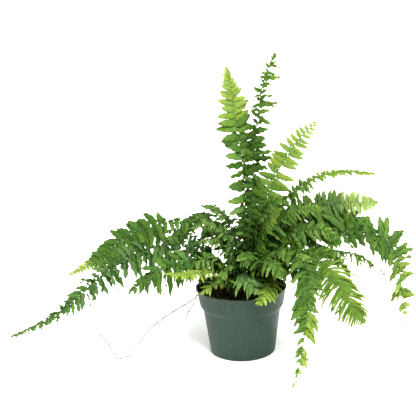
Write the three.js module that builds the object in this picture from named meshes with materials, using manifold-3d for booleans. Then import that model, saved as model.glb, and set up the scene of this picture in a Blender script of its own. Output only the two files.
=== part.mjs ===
// A sword fern growing in a plastic nursery pot: the pot, the potting mix that fills it,
// one solid for each frond with its stalk standing in a hole in the mix, and the wiry runners.
// Millimetres, +Z up. The origin is the middle of the pot's flat underside.
import * as THREE from "three";
import { mergeVertices } from "three/addons/utils/BufferGeometryUtils.js";
import Module from "manifold-3d";

const wasm = await Module();
wasm.setup();

// ---------------------------------------------------------------- driving dimensions

const POT_HEIGHT = 114;
const POT_SIDES = 32;
const RIM_RADIUS = 76;
const COLLAR_FOOT = { radius: 70.5, z: 84 }; // where the wide stacking collar ends
const SHOULDER = { radius: 65, z: 76 }; // where the tapered body begins
const BASE_RADIUS = 54.5;
const BASE_BEVEL = 3.5;
const WALL = 1.3;
const FLOOR = 2;
const DRAIN = { count: 6, radius: 4.5, circle: 40, sides: 10 };

const CLEARANCE = 0.35; // between pieces that stand in or against each other
const MIX_TOP = 101; // mean height of the potting mix
const MIX_RINGS = [0, 16, 32, 48, 62]; // radii of the rings that carry its lumps
const LUMP_HEIGHT = 1.6;

const FOOT_BOTTOM = 80; // the stalks stand this far down in the mix
const FOOT_TOP = 105; // and are straight up to here, just clear of its lumps
const STALK_HALF = 1.25; // half the thickness of a stalk at the mix
const RIB_TIP_HALF = 0.4; // half the thickness of the rib at a frond's tip
const STALK_STEPS = 5;
const LEAFY_END = 0.97; // share of the rib where the last leaflets end
const CROWDING = 1.25; // over 1, the leaflets stand closer towards the tip
const TIP_LENGTH = 5;

const BLADE = 0.7; // thickness of a leaflet
const TAPER = 3.2; // over 1, how late the leaflets shorten towards the tip
const FORWARD = { base: 4, tip: 48 }; // how far leaflets lean towards the frond's tip, degrees
const SHOULDERS = { near: 0.36, far: 0.4 }; // shares of a leaflet's length where it is widest
const SAG = 0.1; // how far a leaflet's tip hangs, as a share of its length
const LEAF_GAP = 0.5; // leaflets of different fronds keep this far apart
const LEAF_ROOT = 0.5; // a leaflet's outer points stand at least this far off its rib
const MOST_LEAN = 0.6; // share of a leaflet's direction that may be along its rib
const LEAST_REACH = 0.55; // share of it that is straight out from the rib, at least
const PLAIN_LEAF = 31; // on a frond whose longest leaflet is under this, leaflets are plain points

const LEAF_GREEN = 0x3f7a28;
const FRESH_GREEN = 0x8cc23c;
const POT_GREEN = 0x4c6459;
const MIX_BROWN = 0x2c2118;
const RUNNER_TAN = 0xb9ad92;

// ---------------------------------------------------------------- the fronds

// root: where the stalk stands in the mix, x and y. route: the points its rib passes, root to tip.
// bare: share of the rib with no leaflets. pairs: pairs of leaflets. leaf: length of the longest.
// roll: turns of the blade about the rib, evenly from its start to its tip, degrees, 0 lying level.
// droop: how far the leaflets hang, degrees. twist: how far each may turn, degrees. taper: in place of TAPER.
// size: shares of their length at places on the blade, 0 at its lowest pair and 1 at its tip.
const FRONDS = [
  // the two that stand upright, and the pale one that leans to the right behind them
  {
    name: "upright_left", root: [-4, 6], bare: 0.14, pairs: 14, leaf: 39,
    roll: [5, 10], droop: 8, twist: 24, taper: 3.4,
    size: [[0, 0.5], [0.2, 0.5], [0.33, 0.88], [0.5, 0.9], [0.7, 1.3], [1, 1.4]],
    route: [[5, 7, 180], [11, 10, 250], [8, 14, 318], [1, 20, 382], [-7, 26, 440], [-16, 34, 489]],
  },
  {
    name: "upright_tall", root: [5, -1], bare: 0.16, pairs: 17, leaf: 30,
    roll: [60, 45, 35, 25], droop: 12, twist: 24, taper: 12,
    size: [[0, 0.55], [0.2, 0.55], [0.33, 1.03], [0.6, 0.98], [0.75, 0.88], [1, 0.8]],
    route: [[15, -1, 200], [23, 0, 280], [28, 4, 345], [36, 8, 402], [47, 12, 455], [71, 17, 509]],
  },
  {
    name: "upper_right_fresh", root: [14, 13], bare: 0.24, pairs: 10, leaf: 33, fresh: true,
    roll: [50, 50], droop: 0, twist: 8, taper: 3.6,
    route: [[28, 20, 195], [50, 34, 264], [77, 48, 313], [105, 60, 350], [146, 72, 385]],
  },
  // right-hand side
  {
    name: "right_thin_high", root: [19, 4], bare: 0.22, pairs: 24, leaf: 16, fresh: true,
    roll: [20, 20], droop: 5, twist: 24, taper: 9,
    size: [[0, 1.2], [0.45, 1.2], [0.6, 0.8]],
    route: [[40, 8, 195], [70, 14, 246], [105, 22, 277], [143, 30, 294], [186, 36, 296], [241, 44, 288]],
  },
  {
    name: "right_upper", root: [26, 19], bare: 0.16, pairs: 15, leaf: 35,
    roll: [55, 60, 55], droop: 8, twist: 24, taper: 12,
    size: [[0, 0.95], [0.66, 0.9], [0.74, 0.71], [0.95, 0.62]],
    route: [[55, 32, 188], [92, 46, 220], [138, 62, 233], [188, 76, 234], [252, 92, 228]],
  },
  {
    name: "right_behind", root: [22, 24], bare: 0.16, pairs: 12, leaf: 38,
    roll: [50, 70, 75], droop: 8, twist: 24, taper: 8,
    route: [[50, 38, 176], [88, 52, 206], [134, 62, 214], [184, 68, 209], [238, 71, 190]],
  },
  {
    name: "right_long", root: [30, 7], bare: 0.18, pairs: 18, leaf: 44,
    roll: [50, 72, 78, 80], droop: 8, twist: 24, taper: 3.6,
    size: [[0, 1], [0.45, 0.95], [0.55, 1.11], [0.66, 0.94], [0.74, 0.75], [0.8, 1], [0.9, 0.9]],
    route: [[62, 12, 176], [112, 20, 200], [173, 24, 199], [224, 22, 191], [256, 18, 169], [269, 14, 116],
      [272, 8, 69], [277, 2, 18]],
  },
  {
    name: "right_thin_low", root: [27, -2], bare: 0.35, pairs: 15, leaf: 22,
    roll: [10, 10], droop: 30, twist: 24,
    route: [[68, -10, 164], [115, -24, 180], [154, -38, 182], [190, -50, 175], [215, -58, 160],
      [235, -66, 141]],
  },
  {
    name: "right_fresh_fall", root: [31, -12], bare: 0.22, pairs: 29, leaf: 40, fresh: true,
    roll: [20, 40, 60], droop: 10, twist: 14, taper: 6,
    size: [[0, 0.94], [0.45, 0.96], [0.65, 1.13]],
    route: [[66, -28, 160], [104, -52, 176], [134, -78, 168], [154, -98, 140], [174, -116, 108],
      [192, -128, 82]],
  },
  {
    name: "right_front_fall", root: [22, -21], bare: 0.14, pairs: 20, leaf: 31,
    roll: [20, 5, 5], droop: 14, twist: 24,
    size: [[0, 1.23], [0.4, 1.1], [0.44, 0.95], [0.6, 0.92], [0.62, 1.1], [0.66, 1.03], [0.67, 0.92],
      [0.85, 0.96], [1, 0.76]],
    route: [[50, -38, 164], [77, -66, 187], [96, -104, 186], [102, -142, 160], [97, -170, 122],
      [88, -190, 76], [79, -203, 38], [66, -210, 12]],
  },
  // left-hand side
  {
    name: "left_upper", root: [-15, 11], bare: 0.18, pairs: 17, leaf: 41,
    roll: [0, 0, -50, -75, -80], droop: 6, twist: 14, taper: 2.8,
    size: [[0, 0.5], [0.28, 0.5], [0.36, 0.4], [0.42, 1], [0.8, 1], [0.87, 0.62]],
    route: [[-27, 20, 176], [-60, 32, 209], [-109, 42, 219], [-158, 50, 206], [-202, 58, 186],
      [-250, 64, 148], [-316, 68, 114]],
  },
  {
    name: "left_long", root: [-22, 0], bare: 0.16, pairs: 31, leaf: 33,
    roll: [-40, -75, -80, -60], droop: 6, twist: 24, taper: 9,
    size: [[0, 0.92], [0.4, 0.92], [0.52, 0.79], [0.62, 0.79], [0.7, 0.4], [1, 0.28]],
    route: [[-42, -2, 166], [-83, -6, 189], [-132, -12, 190], [-180, -20, 178], [-224, -26, 152],
      [-275, -32, 110], [-334, -36, 70], [-403, -38, 42]],
  },
  {
    name: "left_low", root: [-26, -14], bare: 0.2, pairs: 12, leaf: 36,
    roll: [-25, -55, -55], droop: 18, twist: 24, taper: 4,
    size: [[0, 1], [0.7, 1.15], [0.82, 1], [0.9, 0.7]],
    route: [[-46, -32, 158], [-81, -56, 175], [-119, -82, 172], [-152, -102, 160], [-181, -116, 140]],
  },
  {
    name: "left_fresh", root: [-33, -33], bare: 0.25, pairs: 12, leaf: 15, fresh: true,
    roll: [-25, -25], droop: 0, twist: 12,
    route: [[-36, -46, 138], [-44, -60, 155], [-62, -79, 163], [-90, -104, 168], [-122, -125, 179]],
  },
  {
    name: "left_behind", root: [-27, 21], bare: 0.18, pairs: 9, leaf: 30,
    roll: [-20, -30], droop: 20, twist: 22,
    size: [[0, 0.4], [0.35, 0.4], [0.5, 0.9]],
    route: [[-50, 40, 160], [-84, 66, 186], [-124, 92, 190], [-166, 114, 174], [-204, 130, 146]],
  },
  // the low ones in front
  {
    name: "front_left_fresh", root: [-15, -38], bare: 0.25, pairs: 8, leaf: 24, fresh: true,
    roll: [0, 0], droop: 5, twist: 14,
    route: [[-12, -46, 136], [-28, -59, 145], [-46, -71, 141], [-67, -83, 127]],
  },
  {
    name: "front_middle", root: [6, -31], bare: 0.14, pairs: 8, leaf: 38,
    roll: [0, 0], droop: 22, twist: 16,
    route: [[5, -42, 137], [2, -60, 155], [9, -82, 150], [27, -104, 131]],
  },
  {
    name: "front_right_fresh", root: [33, -36], bare: 0.45, pairs: 8, leaf: 25, fresh: true,
    roll: [0, 0], droop: 10, twist: 20,
    route: [[50, -44, 122], [58, -56, 138], [46, -79, 136], [24, -101, 113]],
  },
  // the short ones that fill the middle
  {
    name: "middle_right_front", root: [22, -12], bare: 0.16, pairs: 10, leaf: 38,
    roll: [20, 15], droop: 16, twist: 22,
    route: [[34, -30, 160], [58, -54, 190], [86, -85, 196], [112, -114, 178]],
  },
  {
    name: "middle_right", root: [25, 11], bare: 0.16, pairs: 11, leaf: 33,
    roll: [45, 50], droop: 10, twist: 24,
    route: [[46, 6, 170], [84, 4, 200], [130, 0, 208], [172, -6, 190]],
  },
  {
    name: "middle_right_high", root: [16, -8], bare: 0.18, pairs: 12, leaf: 28,
    roll: [45, 50], droop: 8, twist: 24,
    route: [[32, -8, 180], [60, -4, 220], [102, 4, 242], [150, 12, 240]],
  },
  {
    name: "middle_right_low", root: [33, -18], bare: 0.16, pairs: 9, leaf: 34,
    roll: [20, 20], droop: 20, twist: 24,
    route: [[50, -36, 148], [76, -62, 168], [104, -90, 162], [126, -112, 136]],
  },
  {
    name: "middle_fresh", root: [10, -11], bare: 0.25, pairs: 11, leaf: 24, fresh: true,
    roll: [50, 60], droop: 8, twist: 16,
    route: [[20, -16, 166], [36, -24, 208], [53, -40, 240], [71, -62, 262]],
  },
  {
    name: "middle_high", root: [11, 6], bare: 0.18, pairs: 11, leaf: 30,
    roll: [20, 30], droop: 10, twist: 24,
    route: [[20, 2, 180], [34, -6, 232], [58, -18, 262], [88, -30, 262]],
  },
  {
    name: "middle_crown", root: [15, -22], bare: 0.14, pairs: 11, leaf: 34,
    roll: [10, 10], droop: 16, twist: 24,
    route: [[22, -38, 152], [36, -62, 178], [54, -90, 176], [72, -112, 154]],
  },
  {
    name: "middle_front", root: [3, -20], bare: 0.16, pairs: 10, leaf: 30,
    roll: [0, 0], droop: 18, twist: 20,
    route: [[6, -32, 160], [10, -52, 186], [12, -76, 190], [9, -102, 174]],
  },
  {
    name: "middle_front_left", root: [-8, -24], bare: 0.16, pairs: 11, leaf: 23,
    roll: [0, 0], droop: 12, twist: 20,
    route: [[-8, -38, 146], [-12, -58, 168], [-24, -80, 166], [-40, -102, 150]],
  },
  {
    name: "middle_left_low", root: [-19, -12], bare: 0.16, pairs: 11, leaf: 27,
    roll: [-10, -20], droop: 24, twist: 24,
    size: [[0, 1.5], [0.5, 1.2], [1, 1]],
    route: [[-26, -24, 146], [-42, -38, 172], [-66, -54, 176], [-92, -72, 158]],
  },
  {
    name: "middle_left_front", root: [-22, -23], bare: 0.2, pairs: 8, leaf: 23,
    roll: [-10, -30], droop: 12, twist: 24,
    size: [[0, 1.5], [0.6, 1.4], [1, 1.2]],
    route: [[-25, -28, 138], [-31, -33, 160], [-42, -40, 178], [-62, -48, 186]],
  },
  {
    name: "middle_left", root: [-12, -4], bare: 0.18, pairs: 11, leaf: 24,
    roll: [-15, -30], droop: 14, twist: 24,
    size: [[0, 1.5], [0.6, 1.3], [1, 1]],
    route: [[-16, -8, 160], [-28, -14, 188], [-46, -22, 202], [-70, -32, 198]],
  },
  {
    name: "middle_left_high", root: [-10, 3], bare: 0.18, pairs: 14, leaf: 20,
    roll: [-15, -40], droop: 10, twist: 24,
    route: [[-14, 3, 178], [-30, 2, 210], [-56, -2, 224], [-86, -8, 216]],
  },
  {
    name: "middle_left_fine", root: [-13, 18], bare: 0.2, pairs: 15, leaf: 16,
    roll: [-15, -40], droop: 8, twist: 24,
    route: [[-20, 26, 170], [-36, 38, 204], [-58, 52, 222], [-84, 66, 220]],
  },
  {
    name: "middle_left_back", root: [-4, 14], bare: 0.2, pairs: 12, leaf: 24,
    roll: [-10, -30], droop: 12, twist: 24,
    route: [[-8, 20, 176], [-18, 30, 216], [-40, 42, 240], [-70, 54, 242]],
  },
  // the ones behind
  {
    name: "back_high", root: [4, 17], bare: 0.2, pairs: 10, leaf: 34,
    roll: [0, 0], droop: 12, twist: 20,
    route: [[12, 38, 180], [30, 76, 220], [52, 120, 236], [76, 162, 226], [98, 200, 196]],
  },
  {
    name: "back_left", root: [-11, 26], bare: 0.18, pairs: 12, leaf: 36,
    roll: [0, 0], droop: 18, twist: 22,
    route: [[-26, 52, 172], [-48, 92, 206], [-74, 138, 208], [-98, 182, 180], [-116, 218, 136],
      [-128, 244, 88]],
  },
  {
    name: "back_middle", root: [6, 31], bare: 0.18, pairs: 9, leaf: 38,
    roll: [0, 0], droop: 20, twist: 22,
    route: [[12, 60, 168], [18, 102, 198], [24, 148, 190], [28, 188, 152], [30, 218, 104]],
  },
  {
    name: "back_right", root: [21, 31], bare: 0.18, pairs: 12, leaf: 38,
    roll: [0, 0], droop: 16, twist: 22,
    route: [[44, 58, 176], [76, 96, 212], [112, 140, 216], [146, 182, 190], [172, 216, 146], [190, 242, 96]],
  },
  {
    name: "back_right_low", root: [38, 22], bare: 0.18, pairs: 9, leaf: 33,
    roll: [0, 0], droop: 24, twist: 22,
    route: [[72, 48, 148], [112, 78, 162], [152, 110, 146], [184, 138, 110], [206, 158, 66]],
  },
  {
    name: "back_left_low", root: [-24, 37], bare: 0.18, pairs: 8, leaf: 31,
    roll: [0, 0], droop: 22, twist: 22,
    route: [[-54, 62, 142], [-88, 96, 152], [-122, 134, 132], [-150, 166, 92]],
  },
];

// The runners: bare wiry stems that leave the crown, cross the rim and trail on the ground.
const RUNNER_RADIUS = 0.7;
const RUNNER_SIDES = 5;
const RUNNERS = [
  {
    name: "runner_long", steps: 48,
    route: [[-46, 12, 96], [-46, 12, 104], [-54, 22, 111], [-62, 33, 116], [-67, 38, 117], [-71, 40, 110],
      [-72, 39, 98], [-75, 34, 88], [-84, 25, 83], [-95, 16, 78], [-116, 4, 70], [-140, -9, 58],
      [-158, -16, 44], [-179, -21, 19], [-192, -23, 1.2], [-199, -24, 2.4], [-206, -30, 0.8],
      [-214, -27, 0.8], [-225, 3, 0.8], [-249, 67, 0.8], [-256, 79, 0.8], [-260, 73, 0.8]],
  },
  {
    name: "runner_short", steps: 22,
    route: [[-48, -4, 96], [-48, -4, 104], [-58, 10, 112], [-68, 22, 116.5], [-73, 25, 116.5],
      [-77, 27, 108], [-77, 26, 96], [-78, 23, 86], [-85, 16, 74], [-96, 8, 59]],
  },
];

// ---------------------------------------------------------------- helpers

const UP = new THREE.Vector3(0, 0, 1);
const vec = (x, y, z) => new THREE.Vector3(x, y, z);
const radians = THREE.MathUtils.degToRad;

// Numbers from 0 to 1 that are the same on every run.
function seeded(seed) {
  let state = seed;
  return () => {
    state = (state * 1664525 + 1013904223) % 4294967296;
    return state / 4294967296;
  };
}

function geometryOf(points, triangles) {
  const flat = new Float32Array(points.flatMap((p) => [p.x, p.y, p.z]));
  const geometry = new THREE.BufferGeometry();
  geometry.setAttribute("position", new THREE.BufferAttribute(flat, 3));
  geometry.setIndex(triangles.flat());
  return geometry;
}

function solidOf(geometry) {
  const bare = geometry.clone();
  bare.deleteAttribute("normal");
  bare.deleteAttribute("uv");
  const merged = mergeVertices(bare, 1e-4);
  const mesh = new wasm.Mesh({
    numProp: 3,
    vertProperties: merged.attributes.position.array,
    triVerts: new Uint32Array(merged.index.array),
  });
  return new wasm.Manifold(mesh);
}

function geometryFromSolid(solid) {
  const mesh = solid.getMesh();
  const geometry = new THREE.BufferGeometry();
  geometry.setAttribute("position", new THREE.BufferAttribute(mesh.vertProperties, 3));
  geometry.setIndex(new THREE.BufferAttribute(mesh.triVerts, 1));
  return geometry;
}

function meshOf(name, geometry, color, roughness) {
  const shaded = geometry.clone();
  shaded.computeVertexNormals();
  const mesh = new THREE.Mesh(shaded, new THREE.MeshStandardMaterial({ color, roughness, metalness: 0 }));
  mesh.name = name;
  return mesh;
}

// A solid turned about Z from its outline of [radius, z] points, which starts and ends on the axis.
function turned(outline) {
  const profile = outline.map(([radius, z]) => new THREE.Vector2(radius, z));
  return new THREE.LatheGeometry(profile, POT_SIDES).rotateX(Math.PI / 2);
}

// ---------------------------------------------------------------- pot and potting mix

// A point [radius, z] inside a part of the wall: the outside, moved in by the wall and a gap.
const insideOf = (part, gap) => [part.radius - WALL - gap, part.z];

function pot() {
  const shell = solidOf(turned([
    [0, 0],
    [BASE_RADIUS - BASE_BEVEL, 0],
    [BASE_RADIUS - BASE_BEVEL * 0.3, BASE_BEVEL * 0.3],
    [BASE_RADIUS + 0.4, BASE_BEVEL],
    [SHOULDER.radius, SHOULDER.z],
    [COLLAR_FOOT.radius, COLLAR_FOOT.z],
    [RIM_RADIUS, POT_HEIGHT],
    [RIM_RADIUS - WALL, POT_HEIGHT],
    insideOf(COLLAR_FOOT, 0),
    insideOf(SHOULDER, 0),
    [BASE_RADIUS - WALL, BASE_BEVEL],
    [BASE_RADIUS - WALL - 1.5, FLOOR],
    [0, FLOOR],
  ]));
  const holes = Array.from({ length: DRAIN.count }, (_, i) => {
    const turn = ((i + 0.5) / DRAIN.count) * 2 * Math.PI;
    const drill = new THREE.CylinderGeometry(DRAIN.radius, DRAIN.radius, 4 * FLOOR, DRAIN.sides);
    drill.rotateX(Math.PI / 2);
    return solidOf(drill.translate(DRAIN.circle * Math.cos(turn), DRAIN.circle * Math.sin(turn), FLOOR / 2));
  });
  return holes.reduce((body, hole) => body.subtract(hole), shell);
}

// Crumbs and hollows of the mix, from a few crossed waves.
function lump(x, y) {
  const [coarse, fine] = [Math.sin(x * 0.21 + 1) * Math.cos(y * 0.17), Math.sin(x * 0.11 - y * 0.31)];
  return LUMP_HEIGHT * (coarse + 0.6 * fine);
}

function pottingMix(holes) {
  const edge = { radius: 72, z: MIX_TOP };
  const outline = [
    [0, FLOOR + CLEARANCE],
    [BASE_RADIUS - WALL - 2.2, FLOOR + CLEARANCE],
    [BASE_RADIUS - WALL - 0.5, BASE_BEVEL + 0.4],
    insideOf(SHOULDER, 0.5),
    insideOf(COLLAR_FOOT, 0.5),
    [edge.radius, edge.z],
    ...MIX_RINGS.map((radius) => [radius, MIX_TOP]).reverse(),
  ];
  const block = turned(outline);
  const at = block.attributes.position;
  for (let i = 0; i < at.count; i++) {
    const [x, y] = [at.getX(i), at.getY(i)];
    if (at.getZ(i) > MIX_TOP - 0.1 && Math.hypot(x, y) < edge.radius - 1) at.setZ(i, MIX_TOP + lump(x, y));
  }
  return holes.reduce((body, hole) => body.subtract(hole), solidOf(block));
}

// ---------------------------------------------------------------- a frond

// The turn of the blade at a share of the rib, from the frond's evenly placed turns.
function rollAt({ roll }, share) {
  const along = share * (roll.length - 1);
  const before = Math.min(Math.floor(along), roll.length - 2);
  return THREE.MathUtils.lerp(roll[before], roll[before + 1], along - before);
}

// The rib's line and its frame at each station: along the rib, to its left, and up from the blade.
function ribStations(frond) {
  const [x, y] = frond.root;
  const line = new THREE.CatmullRomCurve3(
    [vec(x, y, FOOT_TOP), ...frond.route.map((p) => vec(...p))], false, "catmullrom", 0.5);
  line.arcLengthDivisions = 400;
  const tip = line.points.at(-1);
  const heading = vec(tip.x - x, tip.y - y, 0).normalize();
  const level = new THREE.Vector3().crossVectors(UP, heading);
  const station = (at, along, share, half) => {
    const roll = radians(rollAt(frond, share));
    const left = level.clone().addScaledVector(along, -level.dot(along)).normalize();
    const up = new THREE.Vector3().crossVectors(along, left);
    return {
      at, along, share, half,
      left: left.clone().multiplyScalar(Math.cos(roll)).addScaledVector(up, Math.sin(roll)),
      up: up.clone().multiplyScalar(Math.cos(roll)).addScaledVector(left, -Math.sin(roll)),
    };
  };
  const shares = [];
  for (let i = 0; i < STALK_STEPS; i++) shares.push((frond.bare * i) / STALK_STEPS);
  for (let i = 0; i <= frond.pairs; i++) {
    const place = 1 - (1 - i / frond.pairs) ** CROWDING;
    shares.push(THREE.MathUtils.lerp(frond.bare, LEAFY_END, place));
  }
  const stations = shares.map((share) => station(line.getPointAt(share), line.getTangentAt(share), share,
    THREE.MathUtils.lerp(STALK_HALF, RIB_TIP_HALF, share)));
  // The foot in the mix is straight and plumb, with the same section as the stalk above it.
  stations[0] = { ...station(vec(x, y, FOOT_TOP), UP, 0, STALK_HALF) };
  return [{ ...stations[0], at: vec(x, y, FOOT_BOTTOM) }, ...stations];
}

// The four corners of the rib at a station: left top, left bottom, right bottom, right top.
function corners({ at, left, up, half }, grow = 0) {
  const reach = half + grow;
  return [[1, 1], [1, -1], [-1, -1], [-1, 1]].map(([side, top]) =>
    at.clone().addScaledVector(left, side * reach).addScaledVector(up, top * reach));
}

// The value at a place, straight from one [place, value] stop to the next.
function valueAt(stops, place) {
  const next = stops.findIndex(([at]) => at > place);
  if (next <= 0) return stops.at(next)[1];
  const [[from, low], [to, high]] = stops.slice(next - 1, next + 1);
  return THREE.MathUtils.mapLinear(place, from, to, low, high);
}

// Length of a leaflet by its place on the blade, from 0 at the lowest pair to 1 at the tip.
function leafLength(place, { leaf, taper = TAPER, size = [[0, 1]] }) {
  const opening = 0.5 + 0.5 * Math.sin(Math.min(place / 0.3, 1) * Math.PI / 2);
  return leaf * opening * (1 - place ** taper) * valueAt(size, place) + 2.5;
}

// The outer points of one leaflet as pairs of upper and lower points: near shoulder, tip, far shoulder,
// or the tip alone on a frond of small leaflets.
// pose: lift turns it up or down from where it would grow, in degrees; size and width scale it.
function leaflet(frond, near, far, side, place, turn, [lift, size, width]) {
  const forward = radians(THREE.MathUtils.lerp(FORWARD.base, FORWARD.tip, place ** 2));
  const spacing = near.at.distanceTo(far.at);
  const length = leafLength(place, frond) * size;
  const out = near.left.clone().multiplyScalar(side * Math.cos(forward));
  out.addScaledVector(near.along, Math.sin(forward));
  const hang = radians(frond.droop);
  const grows = out.clone().multiplyScalar(Math.cos(hang)).addScaledVector(UP, -Math.sin(hang)).normalize();
  const raise = radians(lift);
  grows.multiplyScalar(Math.cos(raise)).addScaledVector(near.up, Math.sin(raise)).normalize();
  // However it hangs, it leans along the rib only so far, and reaches out from it at least so much.
  const [lean, reach, rise] = [near.along, near.left, near.up].map((axis) => grows.dot(axis));
  grows.copy(near.along).multiplyScalar(Math.min(lean, MOST_LEAN))
    .addScaledVector(near.left, side * Math.max(side * reach, LEAST_REACH))
    .addScaledVector(near.up, rise).normalize();
  const face = near.up.clone().addScaledVector(grows, -near.up.dot(grows)).normalize();
  face.applyAxisAngle(grows, turn);
  const across = new THREE.Vector3().crossVectors(face, grows).multiplyScalar(-side);
  const base = near.at.clone().lerp(far.at, 0.5).addScaledVector(near.left, side * near.half);
  // A leaflet that leans along the rib is narrower, so that it stays clear of the next.
  const room = 0.44 * spacing * Math.abs(across.dot(near.along));
  const halfWidth = Math.min(room, 0.2 * length + 1.5) * width;
  const point = (share, offset) => {
    const middle = base.clone().addScaledVector(grows, length * share)
      .addScaledVector(across, offset * halfWidth).addScaledVector(UP, -SAG * length * share ** 2);
    return [middle.clone().addScaledVector(face, BLADE / 2), middle.addScaledVector(face, -BLADE / 2)];
  };
  const tip = point(1, 0.5);
  return frond.leaf < PLAIN_LEAF ? [tip] : [point(SHOULDERS.near, -1), tip, point(SHOULDERS.far, 1)];
}

// Adds one side of a rib segment to a frond's mesh: a leaflet where there is one, or else the bare face.
// near and far are the indices of the rib's upper and lower corners on that side.
function addSide(points, triangles, near, far, leaf, side) {
  const start = points.length;
  leaf?.forEach((pair) => points.push(...pair));
  const loop = [near, ...(leaf ?? []).map((_, i) => [start + 2 * i, start + 2 * i + 1]), far];
  const add = (a, b, c) => triangles.push(side > 0 ? [a, c, b] : [a, b, c]);
  for (let i = 0; i + 1 < loop.length; i++) {
    const [[topA, lowA], [topB, lowB]] = [loop[i], loop[i + 1]];
    add(topA, lowA, topB);
    add(topB, lowA, lowB);
  }
  if (!leaf) return;
  // The upper and the lower face are split alike, so that they never cross.
  for (const [a, b, c] of leaf.length === 1 ? [[0, 1, 2]] : [[0, 1, 3], [0, 3, 4], [1, 2, 3]]) {
    add(loop[a][0], loop[b][0], loop[c][0]);
    add(loop[a][1], loop[c][1], loop[b][1]);
  }
}

// The frond as one closed mesh. leaves holds [left, right] leaflets, or null, for each segment.
function frondGeometry(stations, leaves) {
  const points = stations.flatMap((station) => corners(station));
  const triangles = [];
  const ring = (i) => [4 * i, 4 * i + 1, 4 * i + 2, 4 * i + 3];
  triangles.push([0, 1, 2], [0, 2, 3]);
  for (let i = 0; i + 1 < stations.length; i++) {
    const [a, b, c, d] = ring(i);
    const [e, f, g, h] = ring(i + 1);
    addSide(points, triangles, [a, b], [e, f], leaves[i]?.[0], 1);
    addSide(points, triangles, [d, c], [h, g], leaves[i]?.[1], -1);
    triangles.push([a, h, e], [a, d, h], [b, g, c], [b, f, g]);
  }
  const [a, b, c, d] = ring(stations.length - 1);
  const end = stations.at(-1);
  points.push(end.at.clone().addScaledVector(end.along, TIP_LENGTH));
  const tip = points.length - 1;
  triangles.push([b, a, tip], [c, b, tip], [d, c, tip], [a, d, tip]);
  return geometryOf(points, triangles);
}

// One leaflet with its stretch of rib side as a closed solid of its own, to try where it fits.
function leafSolid(near, far, leaf, side) {
  const roots = [corners(near), corners(far)].map((c) => (side > 0 ? [c[0], c[1]] : [c[3], c[2]]));
  const points = roots.flat();
  const triangles = [];
  addSide(points, triangles, [0, 1], [2, 3], leaf, side);
  addSide(points, triangles, [2, 3], [0, 1], null, side);
  return solidOf(geometryOf(points, triangles));
}

// ---------------------------------------------------------------- growing the plant

// How a leaflet gives way to its neighbours, tried in turn: lift in degrees, shares of length and width.
const POSES = [
  [0, 1, 1], [0, 1, 0.7], [14, 1, 1], [-14, 1, 0.8], [28, 0.95, 0.8], [-28, 0.95, 0.8],
  [0, 0.7, 0.6], [12, 0.65, 0.8], [-12, 0.65, 0.8], [35, 0.6, 0.7], [0, 0.4, 0.5], [20, 0.4, 0.4],
];

const boxOf = (solid) => {
  const { min, max } = solid.boundingBox();
  return new THREE.Box3(vec(...min), vec(...max));
};

const crosses = (solid, other) => Boolean(other) && solid.intersect(other).volume() > 1e-6;

// Whether the leaflet's outer points all lie to its own side of the rib.
function standsOff(leaf, near, far, side) {
  return leaf.flat().every((point) => [near, far].every(({ at, left, half }) =>
    side * point.clone().sub(at).dot(left) > half + LEAF_ROOT));
}

function isClear(solid, box, others) {
  const near = box.clone().expandByScalar(LEAF_GAP);
  return others.every((other) =>
    !near.intersectsBox(other.box) || solid.minGap(other.solid, LEAF_GAP) >= LEAF_GAP);
}

function growFronds(obstacles) {
  const ribs = FRONDS.map((frond) => {
    const stations = ribStations(frond);
    const solid = solidOf(frondGeometry(stations, []));
    return { frond, stations, solid, box: boxOf(solid) };
  });
  const placed = [...obstacles];
  return ribs.map(({ frond, stations }, index) => {
    const random = seeded(index + 7);
    const others = [...placed, ...ribs.filter((rib) => rib.frond !== frond)];
    const first = stations.length - 1 - frond.pairs;
    const leaves = [];
    const below = {}; // the last leaflet placed on each side
    for (let i = first; i < stations.length - 1; i++) {
      const [near, far] = [stations[i], stations[i + 1]];
      const place = (i - first) / frond.pairs;
      leaves[i] = [1, -1].map((side) => {
        const turn = radians(frond.twist) * (2 * random() - 1) * (1 - place);
        for (const pose of POSES) {
          const leaf = leaflet(frond, near, far, side, place, turn, pose);
          const solid = leafSolid(near, far, leaf, side);
          const box = boxOf(solid);
          if (crosses(solid, below[side]) || !standsOff(leaf, near, far, side)) continue;
          if (!isClear(solid, box, others)) continue;
          below[side] = solid;
          placed.push({ solid, box });
          return leaf;
        }
        return null;
      });
    }
    const color = frond.fresh ? FRESH_GREEN : LEAF_GREEN;
    return meshOf(`frond_${frond.name}`, frondGeometry(stations, leaves), color, 0.55);
  });
}

function runnerGeometry({ route, steps }) {
  const line = new THREE.CatmullRomCurve3(route.map((p) => vec(...p)));
  const section = new THREE.Shape();
  for (let i = 0; i < RUNNER_SIDES; i++) {
    const turn = (i / RUNNER_SIDES) * 2 * Math.PI;
    const [x, y] = [RUNNER_RADIUS * Math.cos(turn), RUNNER_RADIUS * Math.sin(turn)];
    if (i === 0) section.moveTo(x, y);
    else section.lineTo(x, y);
  }
  return new THREE.ExtrudeGeometry(section, { extrudePath: line, steps, bevelEnabled: false });
}

// A plain square hole for a stalk's foot, and one for the foot of a runner.
function stalkHole(stations) {
  const [foot, top] = stations;
  const low = { ...foot, at: foot.at.clone().addScaledVector(UP, -CLEARANCE) };
  const high = { ...top, at: top.at.clone().addScaledVector(UP, 10) };
  const points = [...corners(low, CLEARANCE), ...corners(high, CLEARANCE)];
  const triangles = [[0, 1, 2], [0, 2, 3], [4, 6, 5], [4, 7, 6]];
  for (let i = 0; i < 4; i++) {
    const j = (i + 1) % 4;
    triangles.push([i, i + 4, j], [j, i + 4, j + 4]);
  }
  return solidOf(geometryOf(points, triangles));
}

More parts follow.
